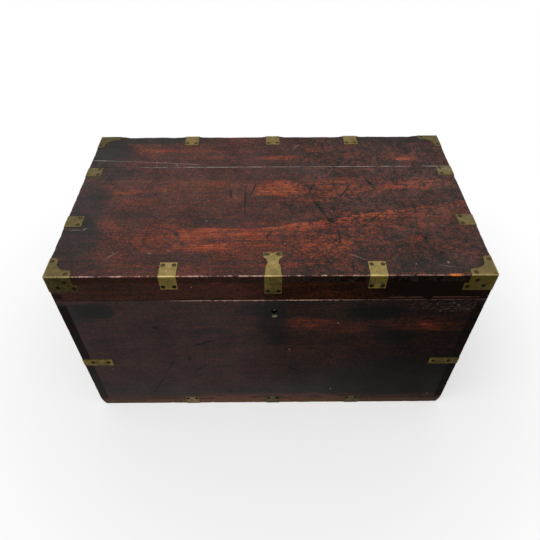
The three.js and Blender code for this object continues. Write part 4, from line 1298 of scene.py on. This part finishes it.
# Hinges
def hinge_leaf(node, first_knuckle, edge, direction):
    """A leaf on the joint's edge that turns down or up the wall's inner face, with its knuckles."""
    low, high = box(node)
    inner = BACK - WALL
    pivot_y, pivot_z = BACK - PIVOT_INSET, (BASE_TOP + LID_UNDER) / 2
    bed = sorted((edge, edge - direction * HINGE_THICK))
    tall = sorted((edge, edge - direction * HINGE_DROP))
    leaf = joined(
        block((low.x, inner, bed[0]), (high.x, pivot_y - BARREL_RADIUS - BARREL_ROOM, bed[1])),
        block((low.x, inner, tall[0]), (high.x, inner + HINGE_THICK, tall[1])))
    length = (high.x - low.x) / KNUCKLES
    for index in range(first_knuckle, KNUCKLES, 2):
        start = low.x + index * length + KNUCKLE_GAP / 2
        end = start + length - KNUCKLE_GAP
        at = along("x", ((start + end) / 2, pivot_y, pivot_z))
        web_start = pivot_y - BARREL_RADIUS - BARREL_ROOM * 2
        web = block((start, web_start, bed[0]), (end, pivot_y - WEB_END, bed[1]))
        joined(leaf, rod(BARREL_RADIUS, end - start, at), web)
    centre = (low.x + high.x) / 2
    bore = rod(PIN_RADIUS + KNUCKLE_GAP, high.x - low.x + 2, along("x", (centre, pivot_y, pivot_z)))
    combine(leaf, bore, "DIFFERENCE")
    facing = axes((1, 0, 0), (0, 0, 1), (0, -1, 0))
    screws = [Matrix.Translation((centre + across, inner, edge - direction * down)) @ facing
              for across, down in HINGE_SCREWS]
    brass_fitted(sunk(cleaned(leaf), screws, BASE_BRASS), node, screws)


def steel_pin(node, name, axis, radius, edge):
    """A round pin along an axis, as long as its node, with softened ends."""
    low, high = box(node)
    pin = rod(radius, getattr(high - low, axis), along(axis, middle(node)))
    pin.data.materials.append(STEEL)
    pin.name = name
    fitted(softened(pin, edge), node, "lock_steel")


for number in (1, 2):
    hinge_leaf(f"hinge_base_leaf_{number}", 0, BASE_TOP, 1)
    hinge_leaf(f"hinge_lid_leaf_{number}", 1, LID_UNDER, -1)
    steel_pin(f"hinge_pin_{number}", f"steel_hinge_pin_{number}", "x", PIN_RADIUS, PIN_EDGE)


# Handles, made in their own frame: x along the end, y up, z out of it
def end_place(side):
    out = -1 if side == "left" else 1
    at = (LEFT if side == "left" else RIGHT, 0, HANDLE_MIDDLE)
    return axes((0, out, 0), (0, 0, 1), (out, 0, 0), at)


def handle_plate(side):
    node = f"handle_plate_{side}"
    low, high = box(node)
    half_long, half_tall = (high.y - low.y) / 2, (high.z - low.z) / 2
    whole = plate(rectangle(-half_long, half_long, -half_tall, half_tall),
                  {index: PLATE_CORNER for index in range(4)}, on_side("top"))
    for sign in (-1, 1):
        at = sign * BOSS_MIDDLE
        half = BOSS_WIDTH / 2
        foot = block((at - half, -BOSS_RADIUS, -BRASS_PROUD), (at + half, BOSS_RADIUS, BOSS_STAND_OFF))
        joined(whole, foot,
               rod(BOSS_RADIUS, BOSS_WIDTH, along("x", (at, 0, BOSS_STAND_OFF))))
    bore = rod(BAIL_PIN_RADIUS + KNUCKLE_GAP, half_long * 2, along("x", (0, 0, BOSS_STAND_OFF)))
    combine(whole, bore, "DIFFERENCE")
    screws = [Matrix.Translation((across * PLATE_SCREW, up * half_tall / 2, BRASS_PROUD))
              for across in (-1, 1) for up in (-1, 1)]
    sunk(cleaned(whole), screws, BASE_BRASS)
    whole.data.transform(end_place(side))
    brass_fitted(whole, node, [end_place(side) @ screw for screw in screws])


def bail_bar():
    """The bent bar: a ring of points drawn down, round two bends and up again."""
    half, low, bend = BAIL_SPAN / 2, -BAIL_DROP, BAIL_BEND
    bm = bmesh.new()
    bmesh.ops.create_circle(bm, cap_ends=True, segments=BAIL_SIDES, radius=BAIL_RADIUS)
    bmesh.ops.transform(bm, matrix=along("y", (-half, 0, BOSS_STAND_OFF)), verts=bm.verts)
    ends = list(bm.faces)

    def straight(shift):
        made = bmesh.ops.extrude_face_region(bm, geom=ends)["geom"]
        bmesh.ops.delete(bm, geom=ends, context="FACES_ONLY")
        bmesh.ops.translate(bm, vec=shift, verts=only(bmesh.types.BMVert, made))
        ends[:] = only(bmesh.types.BMFace, made)

    def bent(centre):
        made = bmesh.ops.spin(bm, geom=ends, cent=(*centre, BOSS_STAND_OFF), axis=(0, 0, 1), dvec=(0, 0, 0),
                              angle=math.pi / 2, steps=BAIL_BEND_STEPS, use_merge=False)["geom_last"]
        bmesh.ops.delete(bm, geom=ends, context="FACES_ONLY")
        ends[:] = only(bmesh.types.BMFace, made)

    # A second face stays behind and closes the bar's first end
    bmesh.ops.duplicate(bm, geom=ends)
    straight((0, low + bend, 0))
    bent((bend - half, low + bend))
    straight(((half - bend) * 2, 0, 0))
    bent((half - bend, low + bend))
    straight((0, -low - bend, 0))
    merge(bm)
    return solid(bm)


def bail_grip():
    """The swelled grip, turned round the bar."""
    bm = bmesh.new()
    swell = GRIP_RADIUS - GRIP_END_RADIUS
    line = [(-GRIP_LENGTH / 2, 0)]
    for step in range(GRIP_STEPS + 1):
        share = step / GRIP_STEPS * 2 - 1
        line.append((share * GRIP_LENGTH / 2, GRIP_END_RADIUS + swell * math.cos(share * math.pi / 2)))
    line.append((GRIP_LENGTH / 2, 0))
    points = [bm.verts.new((u, radius, 0)) for u, radius in line]
    edges = [bm.edges.new(pair) for pair in zip(points, points[1:])]
    bmesh.ops.spin(bm, geom=points + edges, cent=(0, 0, 0), axis=(1, 0, 0), dvec=(0, 0, 0),
                   angle=math.tau, steps=BARREL_SIDES, use_merge=True)
    merge(bm)
    return solid(bm, Matrix.Translation((0, -BAIL_DROP, BOSS_STAND_OFF)))


def handle_bail(side):
    node = f"handle_bail_{side}"
    whole = joined(bail_bar(), bail_grip())
    heel = BOSS_STAND_OFF - BRASS_PROUD - KNUCKLE_GAP
    half = HEEL_THICK / 2
    lead = math.asin(half / heel)
    outline = [(half, 0), (half, heel), (0, heel), (-heel * math.sin(lead / 2), heel * math.cos(lead / 2)),
               (-heel * math.sin(lead), heel * math.cos(lead)), (-half, 0)]
    for sign in (-1, 1):
        at = sign * BAIL_SPAN / 2
        pin_end = BOSS_MIDDLE + BOSS_WIDTH / 2 + BAIL_PIN_PROUD
        pin_middle = sign * (BAIL_SPAN / 2 + pin_end) / 2
        flat = axes((0, 0, 1), (0, 1, 0), (-1, 0, 0), (at - EYE_WIDTH / 2, 0, BOSS_STAND_OFF))
        joined(whole,
               rod(EYE_RADIUS, EYE_WIDTH, along("x", (at, 0, BOSS_STAND_OFF))),
               rod(BAIL_PIN_RADIUS, pin_end - BAIL_SPAN / 2, along("x", (pin_middle, 0, BOSS_STAND_OFF))),
               plate(outline, {}, flat, EYE_WIDTH))
    softened(cleaned(whole), BAIL_EDGE)
    whole.data.materials.append(BASE_BRASS)
    whole.data.transform(end_place(side))
    brass_fitted(whole, node)


for end in ("left", "right"):
    handle_plate(end)
    handle_bail(end)


# Boards
def merged_copy(node):
    """A CAD node's mesh in millimetres, with its doubles merged and its flat faces whole."""
    bm = bmesh.new()
    bm.from_mesh(frame["nodes"][node].data)
    bmesh.ops.scale(bm, vec=(1 / MM, 1 / MM, 1 / MM), verts=bm.verts)
    flattened(bm, 0.5)
    return bm


# The chest's outer faces by name: axis, where it lies, and the way out
FACES = {
    "left": (0, LEFT, -1), "right": (0, RIGHT, 1), "front": (1, FRONT, -1), "back": (1, BACK, 1),
    "top": (2, TOP, 1), "rim": (2, BASE_TOP, 1), "lid_foot": (2, LID_UNDER, -1), "under": (2, 0, -1),
    "before_joint": (1, box("lid_top_front_board")[1].y, 1), "behind_joint": (1, TOP_JOINT, -1),
}


def brass_ranges(axis, faces):
    """Where brass covers an edge: ranges along an axis, for the fittings that touch both faces."""
    ranges = []
    for node in frame["nodes"]:
        if "strap" in node or "bracket" in node:
            low, high = box(node)
            if all(abs((high if out > 0 else low)[a] - at) < BRASS_THICK for a, at, out in faces):
                ranges.append((low[axis], high[axis]))
    return ranges


def wear(seed, base, rough, chips=0, chip_depth=2.5, spread=(LEFT, RIGHT)):
    """How rounded an edge is along its length: soft variation, and chips knocked out."""
    luck = random.Random(seed)
    knocks = [(luck.uniform(*spread), luck.uniform(*CHIP_HALVES), luck.uniform(*CHIP_SHARES) * chip_depth)
              for _ in range(chips)]

    def radius(place):
        whole = base + rough * noise.fractal(Vector((place / WEAR_WAVE, seed * 7.3, 0)), 1.0, 2.0, 4)
        for middle_of, half, depth in knocks:
            whole += depth * max(0, 1 - ((place - middle_of) / half) ** 2)
        return max(LEAST_WEAR, whole)
    return radius


def corner_wear(seed):
    """An upright corner: a soft arris that turns broadly round towards the floor."""
    arris = wear(seed, 1.0, 0.5, 9, 1.6, (WALL_FOOT, TOP))

    def radius(place):
        share = max(0, CORNER_ROUND_TOP - place) / CORNER_ROUND_TOP
        return arris(place) + (CORNER_WORN - arris(place)) * min(1, share) ** 2
    return radius


def squared(bm):
    """Fills out the round plan corners of a bottom board, which are then worn with the walls'."""
    for vertex in bm.verts:
        x, y = vertex.co.x, vertex.co.y
        if all(SAME_POINT < gap < CORNER_ROUND - SAME_POINT for gap in (RIGHT - abs(x), BACK - abs(y))):
            vertex.co.x = math.copysign(RIGHT, x)
            vertex.co.y = math.copysign(BACK, y)
    merge(bm)


def cut(bm, geometry, axis, at):
    """Splits geometry along a plane across an axis."""
    point, normal = Vector((0, 0, 0)), Vector((0, 0, 0))
    point[axis] = at
    normal[axis] = 1
    return bmesh.ops.bisect_plane(bm, geom=geometry, dist=1e-4, plane_co=point, plane_no=normal)["geom"]


def round_edge(bm, first, second, radius, rows=ARRIS_ROWS):
    """Rubs the edge between two faces round, by a radius that changes along it."""
    faces = [FACES[first], FACES[second]]
    run = 3 - faces[0][0] - faces[1][0]
    covers = brass_ranges(run, faces)

    def inside(place):
        return [(at - place[axis]) * out for axis, at, out in faces]

    for axis, at, out in faces:
        for row in rows:
            cut(bm, bm.verts[:] + bm.edges[:] + bm.faces[:], axis, at - out * row)
    strip = []
    for face in bm.faces:
        depths = inside(face.calc_center_median())
        if max(depths) < rows[-1] + 0.5 and min(depths) < BRASS_THICK:
            strip.append(face)
    geometry = strip + list({e for f in strip for e in f.edges}) + list({v for f in strip for v in f.verts})
    start, end = (pick(v.co[run] for v in bm.verts) for pick in (min, max))
    steps = max(2, int((end - start) / ARRIS_STEP))
    for step in range(1, steps):
        geometry = cut(bm, geometry, run, start + (end - start) * step / steps)
    for vertex in bm.verts:
        depths = inside(vertex.co)
        here = vertex.co[run]
        beside_brass = [BRASS_WEAR + max(low - here, here - high, 0) * WEAR_SLOPE for low, high in covers]
        reach = min([radius(here), *beside_brass])
        if max(depths) >= reach:
            continue
        aside = [reach - depth for depth in depths]
        length = math.hypot(*aside)
        if length > reach:
            for (axis, at, out), away in zip(faces, aside):
                vertex.co[axis] = at - out * (reach - away * reach / length)


# The wear of each kind of edge
END_SPREAD = (FRONT, BACK)
FRONT_ARRIS = wear(1, 1.9, 1.0, 30, 2.4)
BACK_ARRIS = wear(2, 6, 2.4)
LEFT_ARRIS = wear(3, 2.0, 1.0, 10, 2, END_SPREAD)
RIGHT_ARRIS = wear(4, 2.0, 1.0, 10, 2, END_SPREAD)
RIM_ARRIS = wear(5, 0.9, 0.5, 16, 1.3)
RIM_END_ARRIS = wear(6, 0.9, 0.5, 8, 1.2, END_SPREAD)
LID_FOOT_ARRIS = wear(7, 0.8, 0.4, 12, 1.0)
LID_FOOT_END_ARRIS = wear(8, 0.8, 0.4, 6, 1.0, END_SPREAD)
JOINT_ARRIS = wear(9, 0.5, 0.3, 14, 0.9)
FOOT_ARRIS = wear(10, 2.4, 1.2, 12, 2)
CORNERS = {(y, x): corner_wear(20 + 2 * (y == "back") + (x == "right"))
           for y in ("front", "back") for x in ("left", "right")}


def corner_edges(sides, ends):
    return [(y, x, CORNERS[y, x], CORNER_ROWS) for y in sides for x in ends]


def foot_edges(long_side):
    return [(side, "under", FOOT_ARRIS) for side in (long_side, "left", "right")]


def boards():
    """Every board: its finish, its slot, and its worn edges as round_edge takes them."""
    both_ends, both_sides = ("left", "right"), ("front", "back")
    lid_ends = [("left", "top", LEFT_ARRIS), ("right", "top", RIGHT_ARRIS)]
    table = {
        "lid_top_front_board": (LID_WOOD, "lid_wood", [
            ("front", "top", FRONT_ARRIS), *lid_ends,
            ("before_joint", "top", JOINT_ARRIS, ARRIS_ROWS[:3])] + corner_edges(["front"], both_ends)),
        "lid_top_rear_board": (LID_WOOD, "lid_wood", [
            ("back", "top", BACK_ARRIS, BACK_ROWS), *lid_ends,
            ("behind_joint", "top", JOINT_ARRIS, ARRIS_ROWS[:3])] + corner_edges(["back"], both_ends)),
        "lid_front_rail": (FRONT_WOOD, "side_wood", [
            ("front", "lid_foot", LID_FOOT_ARRIS, ARRIS_ROWS[:4])] + corner_edges(["front"], both_ends)),
        "lid_back_rail": (BACK_WOOD, "side_wood", corner_edges(["back"], both_ends)),
        "front_board": (FRONT_WOOD, "side_wood", [
            ("front", "rim", RIM_ARRIS, ARRIS_ROWS[:4])] + corner_edges(["front"], both_ends)),
        "back_board": (BACK_WOOD, "side_wood", corner_edges(["back"], both_ends)),
        "bottom_front_board": (
            BOTTOM_WOOD, "bottom_wood", foot_edges("front") + corner_edges(["front"], both_ends)),
        "bottom_rear_board": (
            BOTTOM_WOOD, "bottom_wood", foot_edges("back") + corner_edges(["back"], both_ends)),
    }
    for end in both_ends:
        table[f"lid_{end}_rail"] = (END_WOOD, "side_wood", [
            (end, "lid_foot", LID_FOOT_END_ARRIS, ARRIS_ROWS[:4])] + corner_edges(both_sides, [end]))
        table[f"{end}_end_board"] = (END_WOOD, "side_wood", [
            (end, "rim", RIM_END_ARRIS, ARRIS_ROWS[:4])] + corner_edges(both_sides, [end]))
    return table


def groove(points, width, depth):
    """A ragged wedge along a line on the lid, widest in its middle, that cuts a crack."""
    last = len(points) - 1
    halves = [width / 2 * math.sin(math.pi * (index + 0.5) / (last + 1)) for index in range(len(points))]
    outline = [(x, y + half) for (x, y), half in zip(points, halves)]
    outline += [(x, y - half) for (x, y), half in reversed(list(zip(points, halves)))]
    return plate(outline, {}, on_side("top", proud=TOP + 1), depth + 1)


def made_boards():
    for node, (finish, slot_name, edges) in boards().items():
        bm = merged_copy(node)
        if slot_name == "bottom_wood":
            squared(bm)
        for edge in edges:
            round_edge(bm, *edge)
        piece = object_of(bm, f"wood_{node}", finish)
        if node == "lid_top_rear_board":
            crack = [(x, crack_line(x)) for x in range(*CRACK_ENDS, CRACK_STEP)]
            combine(piece, groove(crack, CRACK_WIDTH, CRACK_DEPTH), "DIFFERENCE")
        if node == "front_board":
            hole = middle("lock_key_pin")
            at = along("y", (hole.x, FRONT, hole.z))
            combine(piece, rod(KEYHOLE_RADIUS, KEYHOLE_SINK, at, sides=KEYHOLE_SIDES), "DIFFERENCE")
        fitted(piece, node, slot_name)


made_boards()


# Lock
def eased_copy(node, finish, slot_name):
    """A CAD solid whose sharp edges are eased."""
    piece = object_of(merged_copy(node), f"eased_{node}", finish)
    fitted(softened(piece, LOCK_EDGE), node, slot_name)


for lock_node in ("lock_case", "lock_back_plate", "lock_link_plate"):
    eased_copy(lock_node, BASE_BRASS, "aged_brass")
eased_copy("lock_bolt", STEEL, "lock_steel")
# The pin that a key's barrel slides over, with a rounded end in the keyhole
key_pin_radius = (box("lock_key_pin")[1] - box("lock_key_pin")[0]).x / 2
steel_pin("lock_key_pin", "steel_key_pin", "y", key_pin_radius, key_pin_radius * KEY_PIN_ROUND)


# Floor, light and camera
def floor():
    """A pale floor that is white to the eye, but for the chest's shadow near it."""
    f = Finish("pale_floor", Base_Color=FLOOR_COLOUR, Roughness=1, Specular_IOR_Level=0)
    away = f.length(f.mapped((0, 0, 0), (1, 1, 1)))
    share = f.seen_white() * (f.rise(away, FLOOR_NEAR, FLOOR_FAR) * (1 - FLOOR_LIFT) + FLOOR_LIFT)
    plain = Wire(f, f.shader.outputs[0])
    mixed = f.either(share, plain, f.wire("ShaderNodeEmission", 0))
    f.tree.links.new(mixed.socket, f.output.inputs[0])
    bm = bmesh.new()
    bmesh.ops.create_grid(bm, x_segments=8, y_segments=8, size=FLOOR_HALF)
    piece = object_of(bm, "floor", f.material)
    piece.data.transform(Matrix.Scale(MM, 4))


def sky():
    """Soft light from all round, which is white to the eye."""
    world = bpy.data.worlds.new("studio_light")
    bpy.context.scene.world = world
    world.use_nodes = True
    f = Nodes(world.node_tree)
    light, bright = (f.wire("ShaderNodeBackground", 0, None, [(1, 1, 1, 1), strength])
                     for strength in (WORLD_LIGHT, 1))
    f.add("ShaderNodeOutputWorld", None, [f.either(f.seen_white(), light, bright)])


def lamp():
    """A soft square lamp, high in front of the chest."""
    data = bpy.data.lights.new("soft_key", "AREA")
    data.size = LAMP_SIZE
    data.energy = LAMP_POWER
    lit = in_scene("soft_key", data)
    lit.location = LAMP_AT
    lit.rotation_euler = (Vector(LAMP_AIM) - Vector(LAMP_AT)).to_track_quat("-Z", "Y").to_euler()


def camera():
    """The photograph's view, fitted to the chest's corners."""
    data = bpy.data.cameras.new("photo_view")
    data.sensor_width = SENSOR
    data.lens = LENS
    eye = in_scene("photo_view", data)
    yaw, pitch, roll = (math.radians(angle) for angle in VIEW_TURN)
    ahead = Vector((math.sin(yaw) * math.cos(pitch), math.cos(yaw) * math.cos(pitch), -math.sin(pitch)))
    right = Vector((math.cos(yaw), -math.sin(yaw), 0))
    down = ahead.cross(right)
    turned_right = right * math.cos(roll) + down * math.sin(roll)
    turned_down = down * math.cos(roll) - right * math.sin(roll)
    eye.matrix_world = axes(turned_right, -turned_down, -ahead, EYE)
    bpy.context.scene.camera = eye


floor()
sky()
lamp()
camera()
bpy.context.scene.view_settings.view_transform = "Standard"
